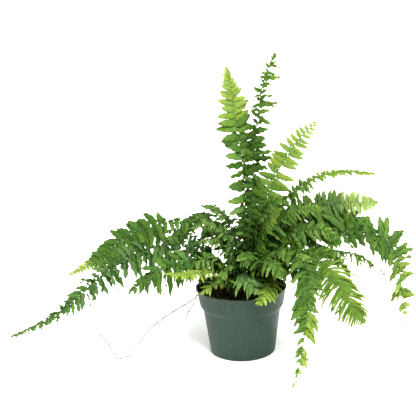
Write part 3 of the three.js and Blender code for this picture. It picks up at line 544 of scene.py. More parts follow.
# what many of the short fronds in the middle have in common
FULL = dict(curl=(0.5, 0.6), broad=1.2)
CURLED = dict(curl=(0.8, 0.9), broad=1.3)
SHADED = dict(CURLED, age_and_shade=(0.2, 0.48), grey=0.6)
FRONDS = {
    # the two that stand upright, and the pale one that leans to the right behind them
    "upright_left": dict(
        root=(-4, 6), bare=0.14, spacing=16.5, leaf=39, roll=(5, 10), droop=8, taper=3.4, crowding=1.55,
        lean=(2, 34), size=((0.2, 0.5), (0.33, 0.88), (0.5, 0.9), (0.6, 1.1), (0.7, 1.3), (1, 1.4)),
        broad=((0, 1.3), (0.5, 1.25), (0.65, 1.4), (1, 1.3)), curl=((0, 0.4), (0.6, 0.35), (0.72, 0.05)),
        age_and_shade=((0, 0.08), (0.6, 0.2), (0.7, 0.3), (0.76, 0.64), (1, 0.9)),
        route=((5, 7, 180), (11, 10, 250), (8, 14, 318), (1, 20, 382), (-7, 26, 440), (-16, 34, 489))),
    "upright_tall": dict(
        root=(5, -1), bare=0.16, spacing=12.5, leaf=30, roll=(60, 45, 35, 25), droop=12, twist=34, taper=12,
        crowding=1.45, lean=(0, 48), size=((0.2, 0.45), (0.33, 0.84), (0.6, 0.8), (0.75, 0.72), (1, 0.65)),
        right=1.45, broad=((0, 1.3), (0.55, 1.25), (0.7, 1)), curl=((0, 0.4), (0.4, 0.6), (0.6, 0.75)),
        age_and_shade=((0, 0.04), (0.55, 0.12), (0.75, 0.28), (1, 0.42)),
        route=((15, -1, 200), (23, 0, 280), (28, 4, 345), (36, 8, 402), (47, 12, 455), (71, 17, 509))),
    "upper_right_fresh": dict(
        root=(14, 13), bare=0.24, spacing=12.5, leaf=33, roll=(50, 50), droop=0, twist=8, taper=3.6,
        crowding=1.2, lean=(-4, 14), young=True, broad=1.05, curl=(0.15, 0),
        age_and_shade=((0, 0.2), (0.3, 0.36), (0.45, 0.58), (1, 0.78)),
        route=((28, 20, 195), (50, 34, 264), (77, 48, 313), (105, 60, 350), (146, 72, 385))),
    # right-hand side
    "right_thin_high": dict(
        root=(19, 4), bare=0.22, spacing=5.5, leaf=16, roll=(20, 20), droop=5, twist=30, taper=9,
        crowding=1.15, lean=(4, 30), young=True, size=((0.45, 1.2), (0.6, 0.8)), broad=1.3,
        curl=((0.6, 0.5), (0.65, 0.15)), age_and_shade=((0, 0.15), (0.5, 0.25), (0.62, 0.6), (1, 0.82)),
        route=((40, 8, 195), (70, 14, 246), (105, 22, 277), (143, 30, 294), (186, 36, 296), (241, 44, 288))),
    "right_upper": dict(
        root=(26, 19), bare=0.16, spacing=11.5, leaf=35, roll=(55, 60, 55), droop=8, twist=26, taper=12,
        crowding=1.55, lean=(0, 14), size=((0, 1), (0.66, 0.95), (0.74, 0.75), (0.95, 0.65)), right=0.9,
        broad=((0, 2.1), (0.66, 1.8), (0.75, 1.1)), curl=((0, 0.5), (0.65, 0.4), (0.75, 0.1)),
        age_and_shade=((0, 0.2), (0.45, 0.4), (0.68, 0.38), (0.75, 0.8), (1, 0.9)), grey=0.55,
        route=((55, 32, 188), (92, 46, 220), (138, 62, 233), (188, 76, 234), (252, 92, 228))),
    "right_behind": dict(
        root=(22, 24), bare=0.16, spacing=11, leaf=38, roll=(50, 70, 75), droop=8, twist=26, taper=8,
        broad=1.7, curl=(0.4, 0.5), age_and_shade=(0.15, 0.32, 0.36), grey=0.2,
        route=((50, 38, 176), (88, 52, 206), (134, 62, 214), (184, 68, 209), (238, 71, 190))),
    "right_long": dict(
        root=(30, 7), spacing=12, leaf=44, roll=(50, 72, 78, 80), droop=8, taper=3.6, crowding=1.4,
        lean=(-12, 36), skew=30, size=((0, 1), (0.3, 1.1), (0.45, 1.15), (0.55, 1.35), (0.66, 1.1),
            (0.74, 0.75), (0.8, 1), (0.9, 0.9)), right=((0, 1), (0.2, 0.8), (0.5, 0.62), (0.66, 0.7),
               (0.74, 1)), broad=1.5, curl=((0.6, 0.6), (0.85, 0.8)), gaps=((0.6, 0), (0.67, 0.1),
            (0.8, 0.2), (0.88, 0.4), (0.93, 0.8)), age_and_shade=((0, 0.03), (0.4, 0.14), (0.62, 0.28), (0.7, 0.6),
            (1, 0.85)),
        route=((62, 12, 176), (112, 20, 200), (173, 24, 199), (224, 22, 191), (256, 18, 169), (269, 14, 116),
               (272, 8, 69), (277, 2, 18))),
    "right_thin_low": dict(
        root=(27, -2), bare=0.35, spacing=6, leaf=22, roll=(10, 10), droop=30, twist=30, curl=(0.6, 0.9),
        gaps=((0.5, 0), (0.7, 0.2)), age_and_shade=(0.25, 0.3),
        route=((68, -10, 164), (115, -24, 180), (154, -38, 182), (190, -50, 175), (215, -58, 160),
               (235, -66, 141))),
    "right_fresh_fall": dict(
        root=(31, -12), bare=0.22, spacing=4.6, leaf=40, roll=(20, 40, 60), droop=10, twist=14, taper=6,
        crowding=1.45, lean=(8, 36), skew=-10, young=True, size=1.1,
        right=((0, 0.7), (0.45, 0.75), (0.65, 1.05)), broad=1.3,
        age_and_shade=((0, 0.02), (0.3, 0.18), (0.5, 0.46), (1, 0.58)), right_age=0.85, grey=-0.1,
        route=((66, -28, 160), (104, -52, 176), (134, -78, 168), (154, -98, 140), (174, -116, 108),
               (192, -128, 82))),
    "right_front_fall": dict(
        root=(22, -21), bare=0.14, spacing=8, leaf=31, roll=(20, 5, 5), droop=14, twist=32, crowding=1.15,
        lean=(8, 40), size=((0, 1.3), (0.4, 1.1), (0.5, 0.72), (0.6, 0.72), (0.66, 1.15), (0.76, 1.15),
            (0.85, 1.1), (1, 0.8)), right=((0, 0.9), (0.44, 1), (0.5, 1.6), (0.62, 1.55), (0.67, 0.6),
               (0.8, 0.7), (1, 0.9)), broad=1.15, curl=((0.7, 0.5), (0.85, 0.7)),
        gaps=((0.5, 0.03), (0.74, 0.08), (0.85, 0.25)), age_and_shade=((0, 0), (0.45, 0.02), (0.6, 0.36),
            (0.68, 0.64), (1, 0.95)), right_age=0.35, grey=-0.1,
        route=((50, -38, 164), (77, -66, 187), (96, -104, 186), (102, -142, 160), (97, -170, 122),
               (88, -190, 76), (79, -203, 38), (66, -210, 12))),
    # left-hand side
    "left_upper": dict(
        root=(-15, 11), spacing=12, leaf=41, roll=(0, 0, -50, -75, -80), droop=6, twist=14, taper=2.8,
        crowding=1.4, lean=(0, 10), skew=20, size=((0.28, 0.5), (0.36, 0.4), (0.42, 1), (0.8, 1),
            (0.87, 0.62)), broad=1.4, curl=((0, 0.8), (0.3, 0.6), (0.4, 0.2)), age_and_shade=((0, 0), (0.4, 0.02),
            (0.78, 0.1), (0.83, 0.2), (0.88, 0.85), (1, 1)), grey=0,
        route=((-27, 20, 176), (-60, 32, 209), (-109, 42, 219), (-158, 50, 206), (-202, 58, 186),
               (-250, 64, 148), (-316, 68, 114))),
    "left_long": dict(
        root=(-22, 0), bare=0.16, spacing=9, leaf=33, roll=(-40, -75, -80, -60), droop=6, twist=42, taper=9,
        crowding=1.6, size=((0.4, 1.05), (0.52, 0.9), (0.62, 0.9), (0.7, 0.45), (1, 0.32)), right=0.76,
        broad=((0.5, 2.3), (1, 2.4)), curl=((0, 0.7), (0.4, 0.85), (0.55, 0.75), (0.68, 0.75), (0.75, 1)),
        gaps=((0.5, 0.03), (0.65, 0.2), (0.8, 0.08)), age_and_shade=((0, 0), (0.4, 0.04), (0.6, 0.12), (1, 0.3)),
        grey=0.55,
        route=((-42, -2, 166), (-83, -6, 189), (-132, -12, 190), (-180, -20, 178), (-224, -26, 152),
               (-275, -32, 110), (-334, -36, 70), (-403, -38, 42))),
    "left_low": dict(
        root=(-26, -14), bare=0.2, spacing=9.5, leaf=36, roll=(-25, -55, -55), droop=18, twist=40, taper=4,
        crowding=1.4, size=((0, 1), (0.4, 1.1), (0.7, 1.15), (0.82, 1), (0.9, 0.7)), broad=2.1,
        curl=((0, 0.6), (0.8, 0.7), (0.9, 1)), gaps=((0.7, 0), (0.85, 0.3)),
        age_and_shade=((0, 0), (0.5, 0.12), (0.8, 0.08)), grey=0.2,
        route=((-46, -32, 158), (-81, -56, 175), (-119, -82, 172), (-152, -102, 160), (-181, -116, 140))),
    "left_fresh": dict(
        root=(-33, -33), bare=0.25, spacing=5.5, leaf=15, roll=(-25, -25), droop=0, twist=12, young=True,
        age_and_shade=(0.6, 0.95),
        route=((-36, -46, 138), (-44, -60, 155), (-62, -79, 163), (-90, -104, 168), (-122, -125, 179))),
    "left_behind": dict(
        root=(-27, 21), spacing=10, leaf=30, roll=(-20, -30), droop=20, twist=22,
        size=((0.35, 0.4), (0.5, 0.9)),
        route=((-50, 40, 160), (-84, 66, 186), (-124, 92, 190), (-166, 114, 174), (-204, 130, 146))),
    # the low ones in front
    "front_left_fresh": dict(
        root=(-15, -38), bare=0.25, spacing=6.5, leaf=24, droop=5, twist=14, young=True, broad=1.25,
        age_and_shade=(0.5, 0.9),
        route=((-12, -46, 136), (-28, -59, 145), (-46, -71, 141), (-67, -83, 127))),
    "front_middle": dict(
        root=(6, -31), bare=0.14, spacing=7.5, leaf=38, droop=22, twist=16, curl=(0.5, 0.6),
        age_and_shade=(0.12, 0.34), grey=0.6,
        route=((5, -42, 137), (2, -60, 155), (9, -82, 150), (27, -104, 131))),
    "front_right_fresh": dict(
        root=(33, -36), bare=0.45, spacing=7.5, leaf=25, droop=10, twist=20, young=True, broad=1.2,
        age_and_shade=(0.6, 0.85),
        route=((50, -44, 122), (58, -56, 138), (46, -79, 136), (24, -101, 113))),
    # the short ones that fill the middle
    "middle_right_front": dict(
        FULL, root=(22, -12), bare=0.16, spacing=9, leaf=38, roll=(20, 15), droop=16, twist=22,
        age_and_shade=((0, 0.1), (0.7, 0.26), (1, 0.45)),
        route=((34, -30, 160), (58, -54, 190), (86, -85, 196), (112, -114, 178))),
    "middle_right": dict(
        FULL, root=(25, 11), bare=0.16, spacing=8.5, leaf=33, roll=(45, 50), droop=10, age_and_shade=(0, 0.2, 0.4),
        route=((46, 6, 170), (84, 4, 200), (130, 0, 208), (172, -6, 190))),
    "middle_right_high": dict(
        FULL, root=(16, -8), spacing=8, leaf=28, roll=(45, 50), droop=8, twist=26, age_and_shade=(0, 0.22, 0.45),
        route=((32, -8, 180), (60, -4, 220), (102, 4, 242), (150, 12, 240))),
    "middle_right_low": dict(
        root=(33, -18), bare=0.16, spacing=9, leaf=34, roll=(20, 20), droop=20, broad=1.2, curl=0.6,
        age_and_shade=((0, 0.04), (0.7, 0.18), (1, 0.42)),
        route=((50, -36, 148), (76, -62, 168), (104, -90, 162), (126, -112, 136))),
    "middle_fresh": dict(
        root=(10, -11), bare=0.25, spacing=6.5, leaf=24, roll=(50, 60), droop=8, twist=16, young=True,
        broad=1.2, curl=(0.5, 0.3), age_and_shade=((0, 0.1), (0.5, 0.15), (0.65, 0.5), (1, 0.62)),
        route=((20, -16, 166), (36, -24, 208), (53, -40, 240), (71, -62, 262))),
    "middle_high": dict(
        root=(11, 6), spacing=8, leaf=30, roll=(20, 30), droop=10, twist=26, broad=1.2, curl=(0.6, 0.7),
        age_and_shade=(0, 0.25),
        route=((20, 2, 180), (34, -6, 232), (58, -18, 262), (88, -30, 262))),
    "middle_crown": dict(
        root=(15, -22), bare=0.14, spacing=7, leaf=34, roll=(10, 10), droop=16, broad=1.2, curl=(0.6, 0.7),
        age_and_shade=(0.04, 0.3),
        route=((22, -38, 152), (36, -62, 178), (54, -90, 176), (72, -112, 154))),
    "middle_front": dict(
        CURLED, root=(3, -20), bare=0.16, spacing=6.5, leaf=30, droop=18, twist=20, age_and_shade=(0.04, 0.2),
        route=((6, -32, 160), (10, -52, 186), (12, -76, 190), (9, -102, 174))),
    "middle_front_left": dict(
        CURLED, root=(-8, -24), bare=0.16, spacing=5.5, leaf=23, droop=12, twist=20, age_and_shade=(0.12, 0.36),
        route=((-8, -38, 146), (-12, -58, 168), (-24, -80, 166), (-40, -102, 150))),
    "middle_left_low": dict(
        CURLED, root=(-19, -12), bare=0.16, spacing=6, leaf=27, roll=(-10, -20), droop=24,
        size=(1.5, 1.2, 1), age_and_shade=(0.22, 0.46), grey=0.3,
        route=((-26, -24, 146), (-42, -38, 172), (-66, -54, 176), (-92, -72, 158))),
    "middle_left_front": dict(
        CURLED, root=(-22, -23), bare=0.2, spacing=5.5, leaf=23, roll=(-10, -30), droop=12, twist=28,
        size=((0, 1.5), (0.6, 1.4), (1, 1.2)), age_and_shade=(0.22, 0.46), grey=0.3,
        route=((-25, -28, 138), (-31, -33, 160), (-42, -40, 178), (-62, -48, 186))),
    "middle_left": dict(
        SHADED, root=(-12, -4), spacing=5.5, leaf=24, roll=(-15, -30), droop=14, twist=30,
        size=((0, 1.5), (0.6, 1.3), (1, 1)),
        route=((-16, -8, 160), (-28, -14, 188), (-46, -22, 202), (-70, -32, 198))),
    "middle_left_high": dict(
        SHADED, root=(-10, 3), spacing=5.5, leaf=20, roll=(-15, -40), droop=10, twist=30,
        route=((-14, 3, 178), (-30, 2, 210), (-56, -2, 224), (-86, -8, 216))),
    "middle_left_fine": dict(
        SHADED, root=(-13, 18), bare=0.2, spacing=5, leaf=16, roll=(-15, -40), droop=8, twist=30,
        route=((-20, 26, 170), (-36, 38, 204), (-58, 52, 222), (-84, 66, 220))),
    "middle_left_back": dict(
        SHADED, root=(-4, 14), bare=0.2, spacing=6.5, leaf=24, roll=(-10, -30), droop=12, twist=28,
        route=((-8, 20, 176), (-18, 30, 216), (-40, 42, 240), (-70, 54, 242))),
    # the ones behind
    "back_high": dict(
        root=(4, 17), bare=0.2, spacing=10, leaf=34, droop=12, twist=20,
        route=((12, 38, 180), (30, 76, 220), (52, 120, 236), (76, 162, 226), (98, 200, 196))),
    "back_left": dict(
        root=(-11, 26), spacing=11, leaf=36, droop=18, twist=22,
        route=((-26, 52, 172), (-48, 92, 206), (-74, 138, 208), (-98, 182, 180), (-116, 218, 136),
               (-128, 244, 88))),
    "back_middle": dict(
        root=(6, 31), spacing=11, leaf=38, droop=20, twist=22,
        route=((12, 60, 168), (18, 102, 198), (24, 148, 190), (28, 188, 152), (30, 218, 104))),
    "back_right": dict(
        root=(21, 31), spacing=11, leaf=38, droop=16, twist=22,
        route=((44, 58, 176), (76, 96, 212), (112, 140, 216), (146, 182, 190), (172, 216, 146),
               (190, 242, 96))),
    "back_right_low": dict(
        root=(38, 22), spacing=10.5, leaf=33, droop=24, twist=22,
        route=((72, 48, 148), (112, 78, 162), (152, 110, 146), (184, 138, 110), (206, 158, 66))),
    "back_left_low": dict(
        root=(-24, 37), spacing=10.5, leaf=31, droop=22, twist=22,
        route=((-54, 62, 142), (-88, 96, 152), (-122, 134, 132), (-150, 166, 92))),
}

UP = np.array([0.0, 0.0, 1.0])


def unit(vectors):
    """The vectors, each made one long."""
    return vectors / np.linalg.norm(vectors, axis=-1, keepdims=True)


def along_blade(stops, places):
    """The value at each place along the blade, from one number, a few evenly set or (place, value) stops."""
    if not isinstance(stops, tuple):
        return np.full(len(places), float(stops))
    if not isinstance(stops[0], tuple):
        stops = zip(np.linspace(0, 1, len(stops)), stops)
    return np.interp(places, *zip(*stops))


def turn_about(axis, vectors, angles):
    """Vectors turned about unit axes that are square to them."""
    cos, sin = np.cos(angles)[..., None], np.sin(angles)[..., None]
    return vectors * cos + np.cross(axis, vectors) * sin


def rib_at(frond, shares):
    """The rib's point at each share of its length, with the ways along it, to its left and up from it."""
    line = curve([(*frond["root"], FOOT_TOP), *frond["route"]], 60)
    lengths = np.concatenate([[0], np.cumsum(np.linalg.norm(np.diff(line, axis=0), axis=1))])
    ways = unit(np.gradient(line, axis=0))
    spots = np.asarray(shares) * lengths[-1]
    at = np.stack([np.interp(spots, lengths, line[:, i]) for i in range(3)], -1)
    along = unit(np.stack([np.interp(spots, lengths, ways[:, i]) for i in range(3)], -1))
    heading = line[-1] - line[0]
    level = unit(np.cross(UP, (heading[0], heading[1], 0)))
    left = unit(level - (along @ level)[:, None] * along)
    over = np.cross(along, left)
    roll = np.radians(along_blade(frond["roll"], shares))
    cos, sin = np.cos(roll)[:, None], np.sin(roll)[:, None]
    return at, along, left * cos + over * sin, over * cos - left * sin, lengths[-1]


def blade_outline(reach, side, ear, point):
    """Half width of a leaflet, as a share, at shares of its length, on the side nearer the tip or not."""
    opening = 0.62 + 0.38 * np.minimum(reach / 0.07, 1)
    taper = 1 - 0.2 * reach
    end = np.clip((reach - 0.3) / 0.7, 0, 1)
    closing = (1 - end ** 2.2) ** point
    lobe = ear * np.exp(-((reach - 0.07) / 0.06) ** 2)
    return np.where(side > 0, opening * taper * closing + lobe,
                    opening * taper * closing * (1 - 0.15 * np.exp(-(reach / 0.12) ** 2)))


def leaflets(frond, random):
    """The middle surface of each leaflet, [leaflet, row, column], with the way up from every point."""
    leafy = (LEAFY_END - frond["bare"]) * rib_at(frond, [0.0])[-1]
    crowd = frond["crowding"]
    pairs = round(crowd * leafy / frond["spacing"])
    side = np.tile((1.0, -1.0), pairs)
    draw = random.uniform(-1, 1, (2 * pairs, 9))
    index = np.repeat(np.arange(pairs), 2) + 0.5 + 0.2 * side
    index = index + 0.3 * along_blade(frond["curl"], index / pairs) * draw[:, 8]
    place = 1 - (1 - index / pairs) ** crowd
    shares = frond["bare"] + (LEAFY_END - frond["bare"]) * place
    at, along, left, over, _ = rib_at(frond, shares)

    curl, size, right, broad, age_and_shade, gaps = (
        along_blade(frond[name], place) for name in ("curl", "size", "right", "broad", "age_and_shade", "gaps"))
    spacing = crowd * (1 - index / pairs) ** (crowd - 1) / pairs * leafy
    opening = 0.5 + 0.5 * np.sin(np.minimum(place / 0.3, 1) * np.pi / 2)
    reach = frond["leaf"] * opening * (1 - place ** frond["taper"]) * size
    reach = (reach + SHORTEST) * np.where(side > 0, 1, right)
    reach = reach * (1 + (0.1 + 0.2 * curl ** 2) * draw[:, 0]) * (1 - 0.3 * curl * np.abs(draw[:, 5]))

    forward = along_blade(frond["lean"], place ** 2) - side * frond["skew"]
    forward = np.radians(forward + 9 * draw[:, 1] * (1 + curl))
    grows = left * (side * np.cos(forward))[:, None] + along * np.sin(forward)[:, None]
    hang = np.radians(frond["droop"] + (7 + 22 * curl) * draw[:, 2])[:, None]
    grows = unit(grows * np.cos(hang) - UP * np.sin(hang))
    raised = np.radians((6 + 14 * curl) * draw[:, 3])[:, None]
    grows = unit(grows * np.cos(raised) + over * np.sin(raised))
    # However it hangs, it leans along the rib only so far, and reaches out from it at least so much.
    parts = [(grows * way).sum(1) for way in (along, left, over)]
    grows = unit(along * np.minimum(parts[0], MOST_LEAN)[:, None]
                 + left * (side * np.maximum(side * parts[1], LEAST_REACH))[:, None]
                 + over * parts[2][:, None])
    face = unit(over - (over * grows).sum(1)[:, None] * grows)
    face = turn_about(grows, face, np.radians(frond["twist"]) * (1 + curl) * draw[:, 4] * (1 - 0.6 * place))
    across = np.cross(face, grows) * -side[:, None]

    half = broad * (0.13 * reach + 1.2)
    half = np.minimum((0.62 + 0.2 * curl) * spacing, half) * (1 - 0.25 * curl * np.abs(draw[:, 6]))
    step = np.linspace(0, 1, LEAF_ROWS)
    u = (0.55 * step + 0.45 * (0.5 - 0.5 * np.cos(np.pi * step)))[None, :]
    v = np.linspace(-1, 1, LEAF_COLUMNS)
    v = np.sign(v) * np.abs(v) ** 0.85

    # The middle line leaves the rib straight, bends towards the tip of the frond, sags, and may roll up.
    falcate = (0.13 + (0.06 + 0.14 * curl) * draw[:, 7])[:, None]
    sag = (0.1 + 0.04 * draw[:, 8] + 0.1 * curl)[:, None]
    rolled = (curl * (0.1 + 0.45 * draw[:, 5]))[:, None]
    length = reach[:, None]
    base = at + left * (side * 0.2)[:, None] + over * 0.5
    forth = length * (u - (falcate + rolled ** 2) * u ** 3 * 0.5)
    middle = (base[:, None] + grows[:, None] * forth[..., None]
              + across[:, None] * (length * falcate * u ** 2)[..., None]
              - UP * (length * sag * u ** 2)[..., None]
              - face[:, None] * (length * rolled * u ** 2.4)[..., None])
    way = unit(np.gradient(middle, axis=1))
    spread = unit(across[:, None] - (across[:, None] * way).sum(-1)[..., None] * way)
    spin = (curl * 1.6 * draw[:, 6] + 0.12 * draw[:, 4])[:, None] * u
    spread = turn_about(way, spread, spin)
    upward = np.cross(way, spread) * side[:, None, None]

    point = 0.58 + 0.2 * curl[:, None]
    ear = 0.38 * np.minimum(1, reach / 15)[:, None]
    teeth = 1 + 0.025 * np.where((np.arange(LEAF_ROWS) % 2 == 0), 1, -1) * (u > 0.08) * (u < 0.97)
    uneven = [1 + (0.05 + 0.2 * curl[:, None]) * np.sin(2 * np.pi * (2.7 * u + draw[:, column, None]))
              for column in (0, 7)]
    near = np.maximum(half[:, None] * blade_outline(u, 1, ear, point) * teeth * uneven[0], 0.22)
    far = np.maximum(half[:, None] * blade_outline(u, -1, ear, point) * teeth * uneven[1], 0.22)
    width = np.where(v[None, None, :] > 0, near[..., None], far[..., None]) * v
    fold = (0.16 + 0.5 * curl * np.abs(draw[:, 3]))[:, None, None]
    waves = 0.1 + 0.4 * curl[:, None, None]
    beat = 2 * np.pi * (2.6 * u + 0.5 * draw[:, 2, None])[..., None]
    cup = (np.abs(width) * (fold * (1 - 0.6 * np.abs(v))) * np.sign(0.6 - draw[:, 1])[:, None, None]
           + np.abs(width) * waves * np.abs(v) * np.sin(beat + 1.3 * np.sign(v)))
    points = middle[:, :, None] + spread[:, :, None] * width[..., None] + upward[:, :, None] * cup[..., None]

    age_and_shade = age_and_shade * np.where(side > 0, 1, frond["right_age"])
    age_and_shade = age_and_shade + 0.14 * random.uniform(-1, 1, 2 * pairs)
    dry = (random.random(2 * pairs) < 0.06 + 0.25 * curl) * random.uniform(0.3, 1, 2 * pairs)
    grey = np.clip(frond["grey"] + 0.3 * random.uniform(-1, 1, 2 * pairs), 0, 1)
    fallen = random.random(2 * pairs) < gaps
    # Along each leaflet the value rises by 0.3 from its base to its tip. This is painted shade: darker where
    # the leaflet meets the rib, lighter towards its tip.
    values = dict(
        age_and_shade=age_and_shade[:, None, None] + 0.3 * (u[..., None] - 0.45), grey=grey[:, None, None], wide=width,
        dry=(dry[:, None] * np.clip((u - 0.8) / 0.2, 0, 1))[..., None], reach=(length * u)[..., None])
    values = {name: np.broadcast_to(value, width.shape) for name, value in values.items()}
    values |= dict(points=points, up=np.broadcast_to(upward[:, :, None], points.shape), side=side)
    return {name: value[~fallen] for name, value in values.items()}


def both_skins(upper, lower):
    """What each leaflet's upper skin holds, with what the inner points of its lower skin hold after it."""
    parts = (upper, lower[:, 1:-1, 1:-1])
    return np.concatenate([part.reshape(len(part), -1, *part.shape[3:]) for part in parts], 1)


def quads(grid):
    """The faces of a grid of corner numbers."""
    return np.stack([grid[:-1, :-1], grid[:-1, 1:], grid[1:, 1:], grid[1:, :-1]], -1).reshape(-1, 4)


def frond_mesh(frond, seed):
    """Points, faces, which faces are stalk and which are underside, and the values for the points."""
    got = leaflets(frond, np.random.default_rng(seed))
    count = len(got["side"])

    # A leaflet is two skins that share their edge, with the midrib sunk above and standing out below.
    v = np.linspace(-1, 1, LEAF_COLUMNS)
    rib_line = np.exp(-(v / 0.2) ** 2)
    upper = got["points"] + got["up"] * (BLADE / 2 * (1 - v ** 4) - 0.1 * rib_line)[:, None]
    lower = got["points"] - got["up"] * (BLADE / 2 * (1 - v ** 4) + 0.18 * rib_line)[:, None]
    upper[:, (0, -1)] = got["points"][:, (0, -1)]
    grid = np.arange(LEAF_ROWS * LEAF_COLUMNS).reshape(LEAF_ROWS, LEAF_COLUMNS)
    below = grid.copy()
    below[1:-1, 1:-1] = grid.size + np.arange(below[1:-1, 1:-1].size).reshape(below[1:-1, 1:-1].shape)
    one = np.concatenate([quads(grid), quads(below)[:, ::-1]])
    each = grid.size + below[1:-1, 1:-1].size
    points = both_skins(upper, lower).reshape(-1, 3)
    faces = one[None] + (np.arange(count) * each)[:, None, None]
    faces = np.where(got["side"][:, None, None] > 0, faces[..., ::-1], faces).reshape(-1, 4).tolist()
    under = np.tile(np.repeat((0.0, 1.0), len(one) // 2), count)

    # The rib is a round thread with a groove along its upper side.
    shares = np.linspace(0, RIB_END, RIB_STEPS)
    at, along, left, over, _ = rib_at(frond, shares)
    at = np.vstack([(*frond["root"], FOOT_BOTTOM), at, at[-1] + along[-1] * 5])
    left, over = (np.vstack([way[0], way, way[-1]]) for way in (left, over))
    shares = np.concatenate([[-0.05], shares, [1.0]])
    radii = np.interp(shares, [0, 0.3, 1], [STALK_RADIUS, 0.95, RIB_TIP_RADIUS])
    radii[-1] = 0.12
    turns = np.radians([90, 45, 0, -45, -90, -135, 180, 135])
    depth = np.array([0.62, 1, 1, 1, 1, 1, 1, 1])
    ring = (np.cos(turns) * depth)[:, None, None] * left + (np.sin(turns) * depth)[:, None, None] * over
    rib = (at + ring * radii[:, None]).transpose(1, 0, 2).reshape(-1, 3)
    rings = (len(points) + np.arange(len(rib)).reshape(-1, len(turns))).tolist()
    # Each face starts on the ring nearer the mix.
    rib_faces = [face[-1:] + face[:-1] for low, high in zip(rings, rings[1:]) for face in bridge(high, low)]
    rib_faces += [rings[0], rings[-1][::-1]]

    none = np.zeros(len(shares))
    age_and_shade = along_blade(frond["age_and_shade"], (shares - frond["bare"]) / (1 - frond["bare"]))
    values = dict(age_and_shade=age_and_shade, dry=none, grey=none, reach=shares, wide=none)
    for name, value in values.items():
        blades = both_skins(got[name], got[name]).ravel()
        values[name] = np.concatenate([blades, np.repeat(value, len(turns))])
    stalk = np.repeat((0, 1), (len(faces), len(rib_faces)))
    under = np.concatenate([under, np.zeros(len(rib_faces))])
    return np.concatenate([points, rib]), faces + rib_faces, stalk, under, values


GREENS = [(0.0, (0.044, 0.112, 0.002)), (0.2, (0.063, 0.140, 0.002)), (0.4, (0.093, 0.173, 0.002)),
          (0.6, (0.124, 0.196, 0.003)), (0.8, (0.163, 0.230, 0.008)), (1.0, (0.213, 0.286, 0.016))]


def tint(tree, colour, brightness, saturation, hue=0.5):
    """The socket of a colour made brighter or duller, and turned where hue isn't 0.5."""
    inputs = {"Color": colour, "Hue": hue, "Saturation": saturation, "Value": brightness}
    return node(tree, "ShaderNodeHueSaturation", inputs).outputs[0]


def leaf_skin(name, roughness, specular):
    """A leaf: waxy green that lets light through, with veins, a paler dull underside and dry tips."""
    skin, tree, shader, here = new_material(name, roughness, specular)
    under = stored(tree, "under")
    drift = between(tree, speckle(tree, here, 45, 3), 0.3, 0.7, -0.07, 0.07)
    # The green follows the leaflet's age, and the painted shade that darkens it near the rib.
    green = ramp(tree, reckon(tree, "ADD", stored(tree, "age_and_shade"), drift), GREENS)
    green = mix_colours(tree, stored(tree, "grey"), green, tint(tree, green, 1.06, 0.72, hue=0.525))
    blotch = between(tree, speckle(tree, here, 260, 5), 0.38, 0.62, 0, 0.6)
    green = mix_colours(tree, blotch, green, (0.72, 0.8, 0.6, 1), "MULTIPLY")
    # Side veins leave the midrib and slant towards the tip of the leaflet.
    off_rib = reckon(tree, "ABSOLUTE", stored(tree, "wide"))
    slant = reckon(tree, "MULTIPLY_ADD", off_rib, -0.7, stored(tree, "reach"))
    vein = reckon(tree, "SINE", reckon(tree, "MULTIPLY", slant, 2 * math.pi / VEIN_SPACING))
    light = tint(tree, green, 1.9, 0.85)
    green = mix_colours(tree, between(tree, vein, 0.5, 1.0, 0, 0.25), green, light)
    green = mix_colours(tree, between(tree, off_rib, 0.1, 0.4, 0.2, 0), green, light)
    green = mix_colours(tree, under, green, tint(tree, green, 1.35, 0.82))
    green = mix_colours(tree, stored(tree, "dry"), green, (0.16, 0.085, 0.03, 1))
    tree.links.new(between(tree, under, 0, 1, roughness, roughness + 0.2), shader.inputs["Roughness"])
    relief = reckon(tree, "MULTIPLY_ADD", between(tree, vein, 0.55, 1.0), -0.6,
                    between(tree, off_rib, 0.15, 0.5, 1, 0))
    cover(tree, shader, green, bumps(tree, relief, 0.35, 0.0003))
    glow = tint(tree, mix_colours(tree, 1.0, green, (1.0, 1.0, 0.45, 1), "MULTIPLY"), 1.5, 1.05)
    through = node(tree, "ShaderNodeBsdfTranslucent", {"Color": glow})
    both = node(tree, "ShaderNodeMixShader", {0: 0.32, 1: shader.outputs[0], 2: through.outputs[0]})
    tree.links.new(both.outputs[0], tree.nodes["Material Output"].inputs["Surface"])
    return skin


mature_skin = leaf_skin("mature_leaf", 0.32, 0.2)
young_skin = leaf_skin("young_leaf", 0.42, 0.13)

stalk_skin, tree, shader, here = new_material("frond_stalk", 0.5, 0.5)
rib_green = ramp(tree, stored(tree, "age_and_shade"), [(0.0, (0.045, 0.085, 0.02)), (0.5, (0.07, 0.13, 0.02)),
                                             (1.0, (0.15, 0.25, 0.035))])
patchy = reckon(tree, "ADD", stored(tree, "reach"),
                between(tree, speckle(tree, here, 160, 3), 0.3, 0.7, -0.12, 0.12))
colour = mix_colours(tree, between(tree, patchy, 0.02, 0.3), (0.085, 0.042, 0.018, 1), rib_green)
cover(tree, shader, colour, bumps(tree, speckle(tree, here, 900, 2, stretch=(1, 1, 0.2)), 0.3, 0.0003))

for number, (name, given) in enumerate(FRONDS.items()):
    frond = {**USUAL, **given}
    points, faces, stalk, under, values = frond_mesh(frond, 100 + number)
    skin, slot = (young_skin, "young_leaf") if frond["young"] else (mature_skin, "mature_leaf")
    made = piece(f"fern_{name}", points, faces, [skin, stalk_skin])
    made.data.polygons.foreach_set("material_index", stalk)
    made.data.attributes.new("under", "FLOAT", "FACE").data.foreach_set("value", under.astype("f"))
    shade_points(made.data, **values)
    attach(made, "root")
    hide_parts(f"frond_{name}")

# ---------------------------------------------------------------- stalk scales
# Thin rust-brown scales, 2 to 4 mm long, that clothe the foot of every stalk and thin out above it.

